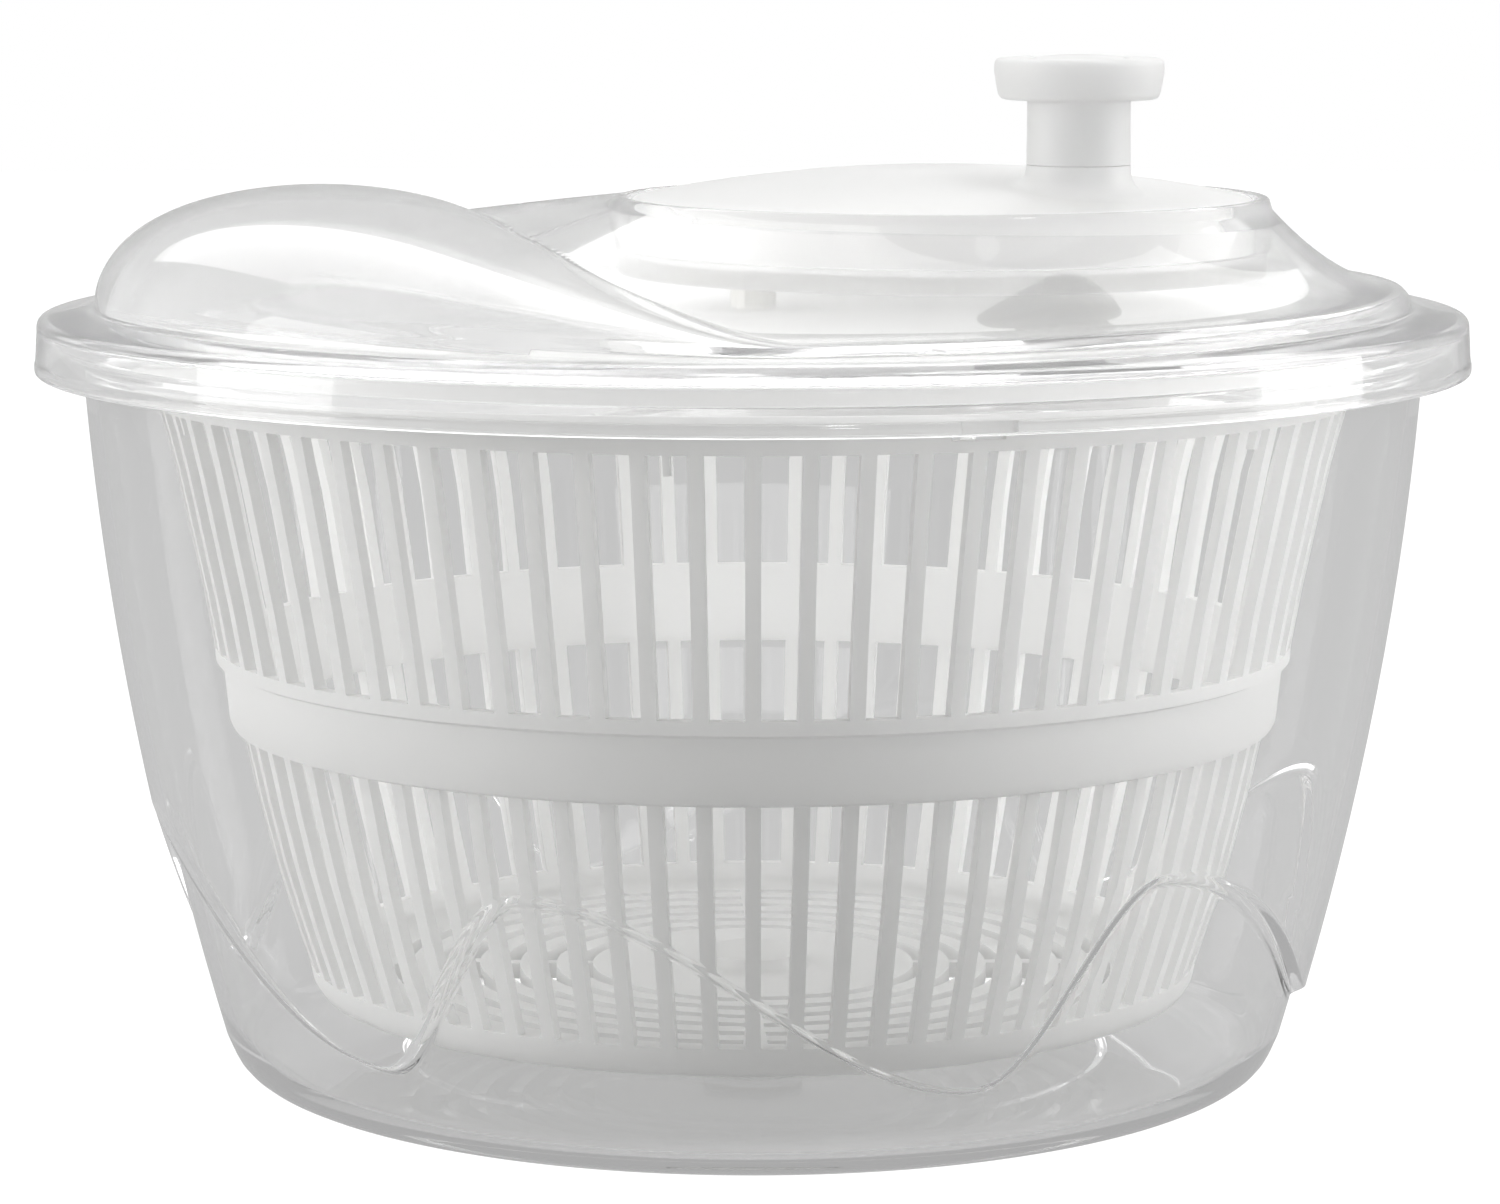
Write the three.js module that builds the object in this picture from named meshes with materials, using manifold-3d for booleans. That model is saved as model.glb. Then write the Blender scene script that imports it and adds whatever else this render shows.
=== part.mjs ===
// Salad spinner: a clear bowl, a slatted basket that spins in it, and a clear lid whose off-centre
// crank disc drives the basket through an internal ring gear and a pinion on the bowl's axis.
//
// Millimetres, +Z up. The origin is the centre of the bowl's foot, and the front looks along -Y.
// Angles round the bowl start at the front and grow towards +X.

import * as THREE from 'three';
import { mergeVertices } from 'three/addons/utils/BufferGeometryUtils.js';
import Module from 'manifold-3d';

const wasm = await Module();
wasm.setup();

// ---------------------------------------------------------------- driving dimensions

const gap = 0.3; // clearance between pieces that touch
const roundSteps = 48; // facets round the bowl, the lid and the large discs
const smallSteps = 16; // facets round bushes, washers and screws

// bowl
const bowlHeight = 132;
const bowlRimRadius = 116.3; // outside, under the lip
const bowlFootRadius = 93.8; // where the side wall's line meets the rest plane
const bowlBelly = 0.59; // share of the side's taper that comes low down
const bowlWall = 2.2;
const bowlLipReach = 5.2;
const bowlLipDepth = 3;
const bowlNeck = 12; // from the rim down to where the taper starts
const bowlBaseRadius = 85;
const bowlCornerHeight = 8;
const footRingInner = 63;
const footRecess = 1.2;
const bowlFloorTop = 3.4;

// wave-shaped step round the bowl's foot
const waveCount = 6;
const waveTrough = 15.6;
const waveCrest = 48;
const waveInset = 2.2;
const waveRise = 0.29; // share of one wave that climbs
const waveStart = THREE.MathUtils.degToRad(21.9); // angle of a trough
const waveStepHalf = 1.2; // half the height of the step itself

// spindle and bearing under the basket
const spindleRadius = 3;
const spindleShoulder = 9;
const spindleTop = 17;
const bearingFlangeRadius = 9;
const bearingFlange = 1.9;
const bearingWall = 1.9;
const hubWall = 3.5;
const hubCap = 1.7;

// basket
const basketFit = 6.1; // from the bowl's inside to the basket's lip
const basketSink = 6; // from the bowl's rim down to the basket's rim
const basketFloor = 14.5;
const basketFloorThickness = 2.2;
const basketFootFit = 10.4; // room round the basket's foot
const basketWall = 2;
const basketLean = 0.208; // outward slope of the upper ribs
const basketLip = 3.2;
const ringDepth = 6.2;
const bandTop = 76.5;
const bandBottom = 62;
const bandStep = 2.1;
const lowerRibTaper = 11.3;
const lowerSlotBottom = 20;
const ribCount = 72;
const ribWidth = 2.5;
const floorSlotCount = 6;
const floorSlotFirst = 30;
const floorSlotPitch = 6.5;
const floorSlotWidth = 2.8;
const floorSpokeCount = 4;
const floorSpokeWidth = 4;
const pipCount = 6;
const pipDepth = 3.4;
const pipWidth = 1.4;

// lid
const lidFit = 1.5; // from the bowl's lip to the inside of the lid's band
const lidSkin = 2;
const bandDrop = 7.6; // from the bowl's rim down to the band's lower edge
const flangeWidth = 10.4; // from the band's outside in to the dome's foot
const deckRise = 1.5; // deck above the dome's foot
const turretRise = 16.2; // turret's rim above the deck
const lobeRise = 20.6;
const turretFlare = 1.8; // hollow sweep of the turret's side
const turretFlareBack = 0.5; // sweep at the back left, where the side is full
const turretFull = [95, 140, 158, 192]; // degrees: fullness climbs over two and falls over two
const turretFootShift = 0.035; // of the turret's foot to the right, as a share of the dome's radius
const turretFootShare = 0.951; // radius of the turret's foot, as a share of the dome's radius
const turretRimWidth = 1;
const deckLean = 1.2; // rise of the deck at the right
const lobeTail = 8; // degrees: where the lobe starts at the front
const lobeClimb = 86; // degrees over which the lobe climbs from there
const lobeClimbPower = 0.8;
const lobeBack = [-168, -125]; // degrees over which the lobe regains its height at the back
const lobeBackLoss = 0.6; // share of its rise that the lobe loses at the back
const lobeBulge = [7.5, 0.54]; // powers of the lobe's round section
const domeShoulder = 1.6; // rounding between the dome's foot and its skin
const creaseSpread = 13.5; // how far from the crease the lobe takes to rise
const domeStep = 1.5; // dome's foot above the flange
const collarDepth = 10;
const collarWall = 2.4;
const openingFit = 0.7; // from the crank disc's skirt to the collar

// gears
const gearModule = 1.5;
const pinionTeeth = 16;
const ringTeeth = 60;
const gearBacklash = 0.35;
const gearWidth = 7.5;
const ringGearWall = 5;
const pressureAngle = THREE.MathUtils.degToRad(20);

// crank disc and its knob
const discSkirtWall = 1.9;
const discTop = 2;
const discProud = 0.2; // disc's edge above the turret's rim
const discCrown = 5.4;
const discSkirtDepth = 11.7;
const hubRadius = 8;
const journalRadius = 4;
const knobAcross = 22; // knob's place from the disc's centre
const knobForward = 28;
const postRadius = 4.2;
const knobStemRadius = 8.8;
const knobStemLength = 10.7;
const knobHeadRadius = 14.6;
const knobHeadHeight = 7;
const knobPocket = 5.3; // depth of the pocket for the knob's screw
const capThickness = 1.8;
const capRadius = 8;
const bossFlare = 3.2;
const bossHeight = 3.9;

// gear carrier, bushes and fasteners
const carrierFloor = 2.2;
const carrierClearance = 0.8; // under the disc's skirt
const carrierWall = 2;
const carrierInset = 0.6; // carrier's wall inside the collar's outer face
const bushWall = 2.2;
const bushFlange = 1.3;
const bushFlangeReach = 3;
const washerThickness = 0.8;
const washerReach = 3.8; // past the journal
const screwRadius = 1.6;
const screwHeadRadius = 3.2;
const screwHead = 2;
const screwLength = 12;

// drive plate
const plateThickness = 1.8;
const plateHubRadius = 12;
const plateHub = 3.5;
const plateHubProud = 0.7; // hub above the plate's rim
const plateRimWidth = 8;
const plateRim = 4;
const lugCount = 3;
const lugWidth = 9;
const lugDepth = 3.6;
const lugFit = 0.6;
const squareEnd = 5.6;

// ---------------------------------------------------------------- sizes that follow

const basketRimTop = bowlHeight - basketSink;
const basketLipRadius = bowlRimRadius - bowlWall - basketFit;
const basketSlotTop = basketRimTop - ringDepth;
const basketRimRadius = basketLipRadius - basketLip;
const bandTopRadius = basketRimRadius - (basketRimTop - bandTop) * basketLean;
const basketFootRadius = bowlFootRadius - waveInset - bowlWall - basketFootFit;
const bandBottomRadius = basketFootRadius + lowerRibTaper;

const lidSeat = bowlHeight + gap;
const flangeTop = lidSeat + lidSkin;
const bandInner = bowlRimRadius + bowlLipReach + lidFit;
const lidRadius = bandInner + lidSkin;
const domeRadius = lidRadius - flangeWidth;
const domeFoot = flangeTop + domeStep;
const deck = domeFoot + deckRise;
const turretRim = deck + turretRise;

const crankOffset = (gearModule * (ringTeeth - pinionTeeth)) / 2;
const ringPitch = (gearModule * ringTeeth) / 2;
const ringGearRadius = ringPitch + gearModule * 1.4 + ringGearWall;
const discRadius = ringGearRadius + gap + discSkirtWall;
const openingRadius = discRadius + openingFit;
const discEdge = turretRim + discProud;
const skirtBottom = discEdge - discSkirtDepth;
const ringGearTop = discEdge - discTop - gap;
const gearBottom = ringGearTop - gearWidth;
const carrierTop = skirtBottom - carrierClearance;
const carrierBottom = carrierTop - carrierFloor;
const bushTop = carrierTop + gap + bushFlange;
const bushRadius = journalRadius + gap + bushWall;
const crankHubBottom = bushTop + gap;
const boreRadius = screwRadius + gap;

const plateHubTop = basketRimTop + gap + plateRim + plateHubProud;
const plateHubBottom = plateHubTop - plateHub;

const postX = knobAcross;
const postY = -knobForward;
const postDistance = Math.hypot(postX, postY);
const bossFoot = discTopAt(postDistance) - discTop / 2;
const bossTop = discTopAt(postDistance) + bossHeight;
const knobBottom = bossTop + gap;
const knobHeadBottom = knobBottom + knobStemLength;
const knobTop = knobHeadBottom + knobHeadHeight;
const knobPocketFloor = knobTop - knobPocket;
const capLedge = knobTop - capThickness + gap;

const clearPlastic = { color: 0xdfe3e4, roughness: 0.08, metalness: 0 };
const whitePlastic = { color: 0xf1f1ef, roughness: 0.35, metalness: 0 };
const nylon = { color: 0xe9e7df, roughness: 0.5, metalness: 0 };
const steel = { color: 0xb9bcc0, roughness: 0.3, metalness: 1 };

// ---------------------------------------------------------------- tools

/** Makes a manifold solid of a closed geometry. */
function solidOf(geometry) {
  const bare = geometry.index ? geometry.toNonIndexed() : geometry.clone();
  bare.deleteAttribute('normal');
  bare.deleteAttribute('uv');
  const merged = mergeVertices(bare, 1e-4);
  const index = merged.index.array;
  const triangles = [];
  for (let i = 0; i < index.length; i += 3) {
    const [a, b, c] = [index[i], index[i + 1], index[i + 2]];
    if (a !== b && b !== c && c !== a) triangles.push(a, b, c);
  }
  const vertProperties = new Float32Array(merged.attributes.position.array);
  return new wasm.Manifold(new wasm.Mesh({ numProp: 3, vertProperties, triVerts: new Uint32Array(triangles) }));
}

/** Gives a solid back as a geometry, without the spare points that cuts leave on its flat faces. */
function geometryOf(solid) {
  const mesh = solid.asOriginal().simplify(0.02).getMesh();
  const geometry = new THREE.BufferGeometry();
  geometry.setAttribute('position', new THREE.Float32BufferAttribute(mesh.vertProperties, 3));
  geometry.setIndex(new THREE.Uint32BufferAttribute(mesh.triVerts, 1));
  geometry.computeVertexNormals();
  return geometry;
}

/** Joins solids into one. */
function join(...solids) {
  return solids.reduce((sum, solid) => sum.add(solid));
}

/** Turns a closed outline of [radius, height] points round the Z axis, outside going up. */
function turned(outline, steps) {
  const closed = [...outline, outline[0]];
  const points = closed.map(([radius, height]) => new THREE.Vector2(radius, height));
  return solidOf(new THREE.LatheGeometry(points, steps).rotateX(Math.PI / 2));
}

/** A ring or disc with square edges. */
function ring(innerRadius, outerRadius, bottom, top, steps) {
  const outline = [[innerRadius, bottom], [outerRadius, bottom], [outerRadius, top], [innerRadius, top]];
  return turned(outline, steps);
}

/** Turns rows round the Z axis, where each row gives [radius, height] for an angle. */
function turnedRows(rows, steps) {
  const positions = [];
  const indices = [];
  for (let step = 0; step < steps; step += 1) {
    const angle = (2 * Math.PI * step) / steps;
    for (const row of rows) {
      const [radius, height] = row(angle);
      positions.push(radius * Math.sin(angle), -radius * Math.cos(angle), height);
    }
  }
  for (let step = 0; step < steps; step += 1) {
    const next = (step + 1) % steps;
    for (let row = 0; row < rows.length; row += 1) {
      const above = (row + 1) % rows.length;
      const [a, b] = [step * rows.length + row, next * rows.length + row];
      const [c, d] = [next * rows.length + above, step * rows.length + above];
      indices.push(a, b, d, b, c, d);
    }
  }
  const geometry = new THREE.BufferGeometry();
  geometry.setAttribute('position', new THREE.Float32BufferAttribute(positions, 3));
  geometry.setIndex(indices);
  return solidOf(geometry);
}

/** A box given by its size, with its centre at a place. */
function box(width, depth, height, x, y, z) {
  return solidOf(new THREE.BoxGeometry(width, depth, height).translate(x, y, z));
}

/** Copies of a solid at even angles round the Z axis, joined. */
function around(solid, count, startDegrees) {
  const copies = [];
  for (let i = 0; i < count; i += 1) {
    copies.push(solid.rotate([0, 0, startDegrees + (360 * i) / count]));
  }
  return wasm.Manifold.union(copies);
}

function smooth(edge0, edge1, value) {
  return THREE.MathUtils.smoothstep(value, edge0, edge1);
}

// ---------------------------------------------------------------- bowl

/** Height of the wave line at an angle: a short climb from trough to crest and a long way down. */
function waveLine(angle) {
  const turn = ((angle - waveStart) * waveCount) / (2 * Math.PI);
  const share = turn - Math.floor(turn);
  const swing = share < waveRise ? share / waveRise : (1 - share) / (1 - waveRise);
  return waveTrough + (waveCrest - waveTrough) * (0.5 - 0.5 * Math.cos(Math.PI * swing));
}

/** Outer radius of the side wall above the wave line. */
function wallRadius(height) {
  const neck = bowlHeight - bowlNeck;
  const down = (neck - height) / neck;
  return bowlRimRadius - (bowlRimRadius - bowlFootRadius) * ((1 - bowlBelly) * down + bowlBelly * down * down);
}

function makeBowl() {
  const side = (height, inward) => () => [wallRadius(height) - inward, height];
  const belowStep = (inward) => (angle) => {
    const height = waveLine(angle) - waveStepHalf;
    return [wallRadius(height) - waveInset - inward, height];
  };
  const aboveStep = (inward) => (angle) => {
    const height = waveLine(angle) + waveStepHalf;
    return [wallRadius(height) - inward, height];
  };
  const cornerRadius = wallRadius(bowlCornerHeight) - waveInset;
  const lipRadius = bowlRimRadius + bowlLipReach;
  const levels = [waveCrest + 10, (waveCrest + bowlHeight) / 2, bowlHeight - bowlNeck];
  const point = (radius, height) => () => [radius, height];
  const rows = [
    point(0, footRecess),
    point(footRingInner - footRecess, footRecess),
    point(footRingInner, 0),
    point(bowlBaseRadius, 0),
    point(cornerRadius - 2.6, 2.6),
    point(cornerRadius, bowlCornerHeight),
    belowStep(0),
    aboveStep(0),
    ...levels.map((height) => side(height, 0)),
    side(bowlHeight - bowlLipDepth * 2, 0),
    point(lipRadius, bowlHeight - bowlLipDepth),
    point(lipRadius, bowlHeight),
    side(bowlHeight, bowlWall),
    ...levels.map((height) => side(height, bowlWall)).reverse(),
    aboveStep(bowlWall),
    belowStep(bowlWall),
    point(cornerRadius - bowlWall, bowlCornerHeight + 1),
    point(bowlBaseRadius - 1, bowlFloorTop),
    point(0, bowlFloorTop),
  ];
  const spindle = turned(
    [
      [0, bowlFloorTop - 1],
      [spindleRadius + 7, bowlFloorTop - 1],
      [spindleRadius + 5, spindleShoulder],
      [spindleRadius, spindleShoulder],
      [spindleRadius, spindleTop - 1],
      [spindleRadius - 1, spindleTop],
      [0, spindleTop],
    ],
    smallSteps,
  );
  return join(turnedRows(rows, roundSteps), spindle);
}

function makeBasketBearing() {
  const bore = spindleRadius + gap;
  const bottom = spindleShoulder + gap;
  return turned(
    [
      [bore, bottom],
      [bearingFlangeRadius, bottom],
      [bearingFlangeRadius, bottom + bearingFlange],
      [bore + bearingWall, bottom + bearingFlange],
      [bore + bearingWall, spindleTop + 1],
      [bore, spindleTop + 1],
    ],
    smallSteps,
  );
}

// ---------------------------------------------------------------- basket

/** Cutter for one upright slot at the front, wider at its top, where the ribs stand further apart. */
function slotCutter(bottom, top, bottomRadius, topRadius) {
  const halfWidth = (radius) => radius * Math.tan(Math.PI / ribCount) - ribWidth / 2;
  const outline = new THREE.Shape([
    new THREE.Vector2(-halfWidth(bottomRadius), bottom),
    new THREE.Vector2(halfWidth(bottomRadius), bottom),
    new THREE.Vector2(halfWidth(topRadius), top),
    new THREE.Vector2(-halfWidth(topRadius), top),
  ]);
  const depth = topRadius - bottomRadius + 8 * basketWall;
  const prism = new THREE.ExtrudeGeometry(outline, { depth, bevelEnabled: false });
  prism.rotateX(Math.PI / 2).translate(0, -(bottomRadius - 4 * basketWall), 0);
  return solidOf(prism);
}

/** One arc-shaped slot of the floor, between two spokes. */
function floorSlot(radius) {
  const half = Math.PI / floorSpokeCount - floorSpokeWidth / 2 / radius;
  const arcSteps = 4;
  const outline = new THREE.Shape();
  const [inner, outer] = [radius - floorSlotWidth / 2, radius + floorSlotWidth / 2];
  for (let i = 0; i <= arcSteps; i += 1) {
    const angle = -half + (2 * half * i) / arcSteps;
    if (i === 0) outline.moveTo(outer * Math.cos(angle), outer * Math.sin(angle));
    else outline.lineTo(outer * Math.cos(angle), outer * Math.sin(angle));
  }
  for (let i = arcSteps; i >= 0; i -= 1) {
    const angle = -half + (2 * half * i) / arcSteps;
    outline.lineTo(inner * Math.cos(angle), inner * Math.sin(angle));
  }
  const depth = basketFloorThickness + 2;
  const prism = new THREE.ExtrudeGeometry(outline, { depth, bevelEnabled: false });
  return solidOf(prism.translate(0, 0, basketFloor - 1));
}

function makeBasket() {
  const floorTop = basketFloor + basketFloorThickness;
  const shell = turned(
    [
      [0, basketFloor],
      [basketFootRadius - 3.8, basketFloor],
      [basketFootRadius, lowerSlotBottom],
      [bandBottomRadius, bandBottom],
      [bandBottomRadius + bandStep, bandBottom + bandStep / 2],
      [bandTopRadius, bandTop],
      [basketRimRadius - 4 * basketLean, basketRimTop - 4],
      [basketLipRadius, basketRimTop - 2.5],
      [basketLipRadius, basketRimTop],
      [basketRimRadius - basketWall, basketRimTop],
      [bandTopRadius - basketWall, bandTop],
      [bandBottomRadius - basketWall, bandBottom],
      [basketFootRadius - basketWall, floorTop],
      [0, floorTop],
    ],
    ribCount,
  );

  const bearingTop = spindleTop + 1;
  const hubBore = spindleRadius + bearingWall + 2 * gap;
  const hubBottom = spindleShoulder + bearingFlange + 2 * gap;
  const hub = turned(
    [
      [0, hubBottom],
      [hubBore + hubWall, hubBottom],
      [hubBore + hubWall, bearingTop + gap],
      [hubBore, bearingTop + gap + hubCap],
      [0, bearingTop + gap + hubCap],
    ],
    smallSteps,
  );
  const bore = ring(0, hubBore, hubBottom - 1, bearingTop + gap, smallSteps);

  const slotRoom = 360 / ribCount / 2;
  const lowerSlot = slotCutter(lowerSlotBottom, bandBottom, basketFootRadius, bandBottomRadius);
  const slotTopRadius = basketRimRadius - ringDepth * basketLean;
  const upperSlot = slotCutter(bandTop, basketSlotTop, bandTopRadius, slotTopRadius);
  const cuts = [bore, around(lowerSlot, ribCount, slotRoom), around(upperSlot, ribCount, slotRoom)];
  for (let i = 0; i < floorSlotCount; i += 1) {
    cuts.push(around(floorSlot(floorSlotFirst + i * floorSlotPitch), floorSpokeCount, 180 / floorSpokeCount));
  }
  const notchDepth = lugDepth + 0.6;
  const notch = box(lugWidth + 2 * lugFit, 12, notchDepth * 2, 0, -basketRimRadius, basketRimTop);
  cuts.push(around(notch, lugCount, 20));

  const pipTop = basketSlotTop + 1;
  const pipRadius = basketRimRadius - (basketRimTop - basketSlotTop) * basketLean - basketWall / 2;
  const pip = box(pipWidth, basketWall / 2, pipDepth + 1, 0, -pipRadius, pipTop - (pipDepth + 1) / 2);
  const cut = join(shell, hub).subtract(wasm.Manifold.union(cuts));
  return cut.add(around(pip, pipCount, -3 * slotRoom));
}

// ---------------------------------------------------------------- lid

/** Points of the S-shaped crease in plan, from the front to the back, as shares of the dome's radius. */
const creaseRoute = new THREE.CatmullRomCurve3(
  [[0.21, -0.965], [0.087, -0.965], [-0.072, -0.774], [-0.217, -0.533], [-0.323, -0.236], [-0.401, 0.087],
    [-0.506, 0.393], [-0.54, 0.655], [-0.454, 0.878]].map(([x, y]) => new THREE.Vector3(x, y, 0)),
  false,
  'centripetal',
);

/** Height of the turret: a flared funnel from its opening down to the deck, with a fuller back left. */
function turretHeight(x, y) {
  const footX = domeRadius * turretFootShift;
  const footRadius = domeRadius * turretFootShare;
  const rimRadius = openingRadius + turretRimWidth;
  const [dx, dr] = [crankOffset - footX, footRadius - rimRadius];
  const a = dr * dr - dx * dx;
  const b = 2 * dx * (x - footX) - 2 * footRadius * dr;
  const c = footRadius * footRadius - (x - footX) ** 2 - y * y;
  const root = Math.sqrt(Math.max(b * b - 4 * a * c, 0));
  const share = THREE.MathUtils.clamp((-b - root) / (2 * a), 0, 1);
  const turn = (THREE.MathUtils.radToDeg(Math.atan2(y, x - crankOffset)) + 360) % 360;
  const [climbStart, climbEnd, fallStart, fallEnd] = turretFull;
  const fullness = smooth(climbStart, climbEnd, turn) - smooth(fallStart, fallEnd, turn);
  const flare = turretFlare - (turretFlare - turretFlareBack) * fullness;
  const base = deck + (deckLean * Math.max(x, 0)) / domeRadius;
  return base + (turretRim - base) * share ** flare;
}

const creaseSteps = 60;
const crease = creaseRoute.getPoints(creaseSteps).map((point) => {
  const [x, y] = [point.x * domeRadius, point.y * domeRadius];
  return { x, y, height: turretHeight(x, y) };
});

/** Distance in plan to the crease, positive on the lobe's side, and the crease's height there. */
function fromCrease(x, y) {
  let best = Infinity;
  let nearest = 0;
  crease.forEach((point, i) => {
    const distance = Math.hypot(x - point.x, y - point.y);
    if (distance < best) [best, nearest] = [distance, i];
  });
  const after = crease[Math.min(nearest + 1, creaseSteps)];
  const before = crease[Math.max(nearest - 1, 0)];
  const side = (after.x - before.x) * (y - before.y) - (after.y - before.y) * (x - before.x);
  return { distance: side > 0 ? best : -best, height: crease[nearest].height };
}

/** Height of the lobe's dome, low at its front tail and full at the left. */
function lobeHeight(x, y) {
  const radius = Math.min(Math.hypot(x, y) / domeRadius, 1);
  const angle = THREE.MathUtils.radToDeg(Math.atan2(x, -y));
  const climb = THREE.MathUtils.clamp((lobeTail - angle) / lobeClimb, 0, 1);
  const front = Math.sin((Math.PI / 2) * climb) ** lobeClimbPower;
  const back = 1 - lobeBackLoss * (1 - smooth(lobeBack[0], lobeBack[1], angle));
  const section = (1 - radius ** lobeBulge[0]) ** lobeBulge[1];
  return domeFoot + lobeRise * front * back * section;
}

/** Height of the lid's outer face. */
function lidHeight(x, y) {
  const { distance, height } = fromCrease(x, y);
  const radius = Math.hypot(x, y);
  const shoulder = Math.sqrt(THREE.MathUtils.clamp((domeRadius - radius) / domeShoulder, 0, 1));
  if (distance < 0) return domeFoot + (turretHeight(x, y) - domeFoot) * shoulder;
  const foot = domeFoot + (height - domeFoot) * shoulder;
  return foot + (lobeHeight(x, y) - foot) * (1 - Math.exp(-distance / creaseSpread));
}

function makeLid() {
  const rings = [0.38, 0.6, 0.72, 0.79, 0.86, 0.92, 0.965, 0.99].map((share) => share * domeRadius);
  const outside = (radius) => (angle) => {
    return [radius, lidHeight(radius * Math.sin(angle), -radius * Math.cos(angle))];
  };
  const inside = (radius) => (angle) => {
    const grown = (radius * domeRadius) / (domeRadius - lidSkin);
    return [radius, lidHeight(grown * Math.sin(angle), -grown * Math.cos(angle)) - lidSkin];
  };
  const point = (radius, height) => () => [radius, height];
  const bandBottomEdge = bowlHeight - bandDrop;
  const rows = [
    inside(0),
    ...rings.map((radius) => inside((radius * (domeRadius - lidSkin)) / domeRadius)),
    point(domeRadius - lidSkin, domeFoot - lidSkin),
    point(domeRadius + 1, lidSeat),
    point(bandInner, lidSeat),
    point(bandInner, bandBottomEdge),
    point(lidRadius, bandBottomEdge),
    point(lidRadius, flangeTop - 3),
    point(lidRadius - 0.9, flangeTop - 0.9),
    point(lidRadius - 3, flangeTop),
    point(domeRadius, domeFoot),
    ...rings.map((radius) => outside(radius)).reverse(),
    outside(0),
  ];
  const collarBottom = discEdge - collarDepth;
  const collarRadius = openingRadius + collarWall;
  const collar = ring(openingRadius - 1, collarRadius, collarBottom, turretRim + 0.4, roundSteps);
  const opening = ring(0, openingRadius, deck - 20, turretRim + 20, roundSteps);
  const shell = turnedRows(rows, roundSteps);
  return shell.add(collar.translate([crankOffset, 0, 0])).subtract(opening.translate([crankOffset, 0, 0]));
}

// ---------------------------------------------------------------- gears

/** Outline of an external gear with involute flanks, with a tooth on the +X axis. */
function gearOutline(teeth, rootRadius, tipRadius, toothWidth, flankSteps) {
  const pitch = (gearModule * teeth) / 2;
  const base = pitch * Math.cos(pressureAngle);
  const roll = (radius) => {
    const turn = Math.acos(Math.min(base / radius, 1));
    return Math.tan(turn) - turn;
  };
  const halfAt = (radius) => toothWidth / (2 * pitch) + roll(pitch) - roll(Math.max(radius, base));
  const points = [];
  for (let tooth = 0; tooth < teeth; tooth += 1) {
    const centre = (2 * Math.PI * tooth) / teeth;
    for (let side = -1; side <= 1; side += 2) {
      for (let i = 0; i <= flankSteps; i += 1) {
        const share = side < 0 ? i / flankSteps : 1 - i / flankSteps;
        const radius = rootRadius + (tipRadius - rootRadius) * share;
        const angle = centre + side * halfAt(radius);
        points.push(new THREE.Vector2(radius * Math.cos(angle), radius * Math.sin(angle)));
      }
    }
  }
  return points;
}

/** An upright prism of an outline. */
function prism(points, bottom, height) {
  const geometry = new THREE.ExtrudeGeometry(new THREE.Shape(points), { depth: height, bevelEnabled: false });
  return solidOf(geometry.translate(0, 0, bottom));
}

function makeRingGear() {
  const space = (Math.PI * gearModule) / 2 + gearBacklash / 2;
  const teeth = gearOutline(ringTeeth, ringPitch - gearModule * 0.67, ringPitch + gearModule * 1.4, space, 1);
  const hole = prism(teeth, gearBottom - 1, gearWidth + 2);
  return ring(0, ringGearRadius, gearBottom, ringGearTop, roundSteps).subtract(hole);
}

function makePinion() {
  const pitch = (gearModule * pinionTeeth) / 2;
  const tooth = (Math.PI * gearModule) / 2 - gearBacklash / 2;
  const teeth = gearOutline(pinionTeeth, pitch - gearModule * 1.1, pitch + gearModule * 0.93, tooth, 2);
  const bottom = bushTop + washerThickness + 2 * gap;
  const top = ringGearTop - 0.4;
  const shaft = ring(0, journalRadius, plateHubTop + gap, bottom + 1, smallSteps);
  const endBottom = plateHubBottom + 2 * gap;
  const end = box(squareEnd, squareEnd, plateHub + 1, 0, 0, endBottom + (plateHub + 1) / 2);
  const bore = ring(0, boreRadius, endBottom - 1, endBottom + screwLength, smallSteps);
  return join(prism(teeth, bottom, top - bottom), shaft, end).subtract(bore);
}

// ---------------------------------------------------------------- crank disc and knob

/** Height of the crank disc's top at a distance from its centre. */
function discTopAt(distance) {
  return discEdge + discCrown * (1 - (distance / discRadius) ** 2);
}

/** Crank disc with its hub and the knob's post, modelled about its own axis. */
function makeCrankDisc() {
  const under = (radius) => [radius, discTopAt(radius) - discTop];
  const over = (radius) => [radius, discTopAt(radius)];
  const innerRadius = discRadius - discSkirtWall;
  const drum = turned(
    [
      under(0),
      under(innerRadius * 0.55),
      [innerRadius, discEdge - discTop],
      [innerRadius, skirtBottom],
      [discRadius, skirtBottom],
      [discRadius, discEdge - 0.6],
      over(discRadius - 0.8),
      over(discRadius * 0.7),
      over(discRadius * 0.35),
      over(0),
    ],
    roundSteps,
  );
  const journalBottom = carrierBottom - gap - 0.5;
  const hub = turned(
    [
      [0, journalBottom],
      [journalRadius, journalBottom],
      [journalRadius, crankHubBottom],
      [hubRadius, crankHubBottom],
      [hubRadius, discEdge + discCrown - discTop / 2],
      [0, discEdge + discCrown - discTop / 2],
    ],
    smallSteps,
  );
  const postTop = knobPocketFloor + 0.4;
  const post = turned(
    [
      [0, bossFoot],
      [knobStemRadius + bossFlare, bossFoot],
      [knobStemRadius + bossFlare, bossFoot + 1.2],
      [knobStemRadius + bossFlare * 0.25, bossTop - 1.6],
      [knobStemRadius, bossTop],
      [postRadius, bossTop],
      [postRadius, postTop],
      [0, postTop],
    ],
    smallSteps + 8,
  ).translate([postX, postY, 0]);
  const hubBore = ring(0, boreRadius, journalBottom - 1, journalBottom + screwLength, smallSteps);
  const postBore = ring(0, boreRadius, postTop - screwLength, postTop + 1, smallSteps);
  return join(drum, hub, post).subtract(hubBore).subtract(postBore.translate([postX, postY, 0]));
}

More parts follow.
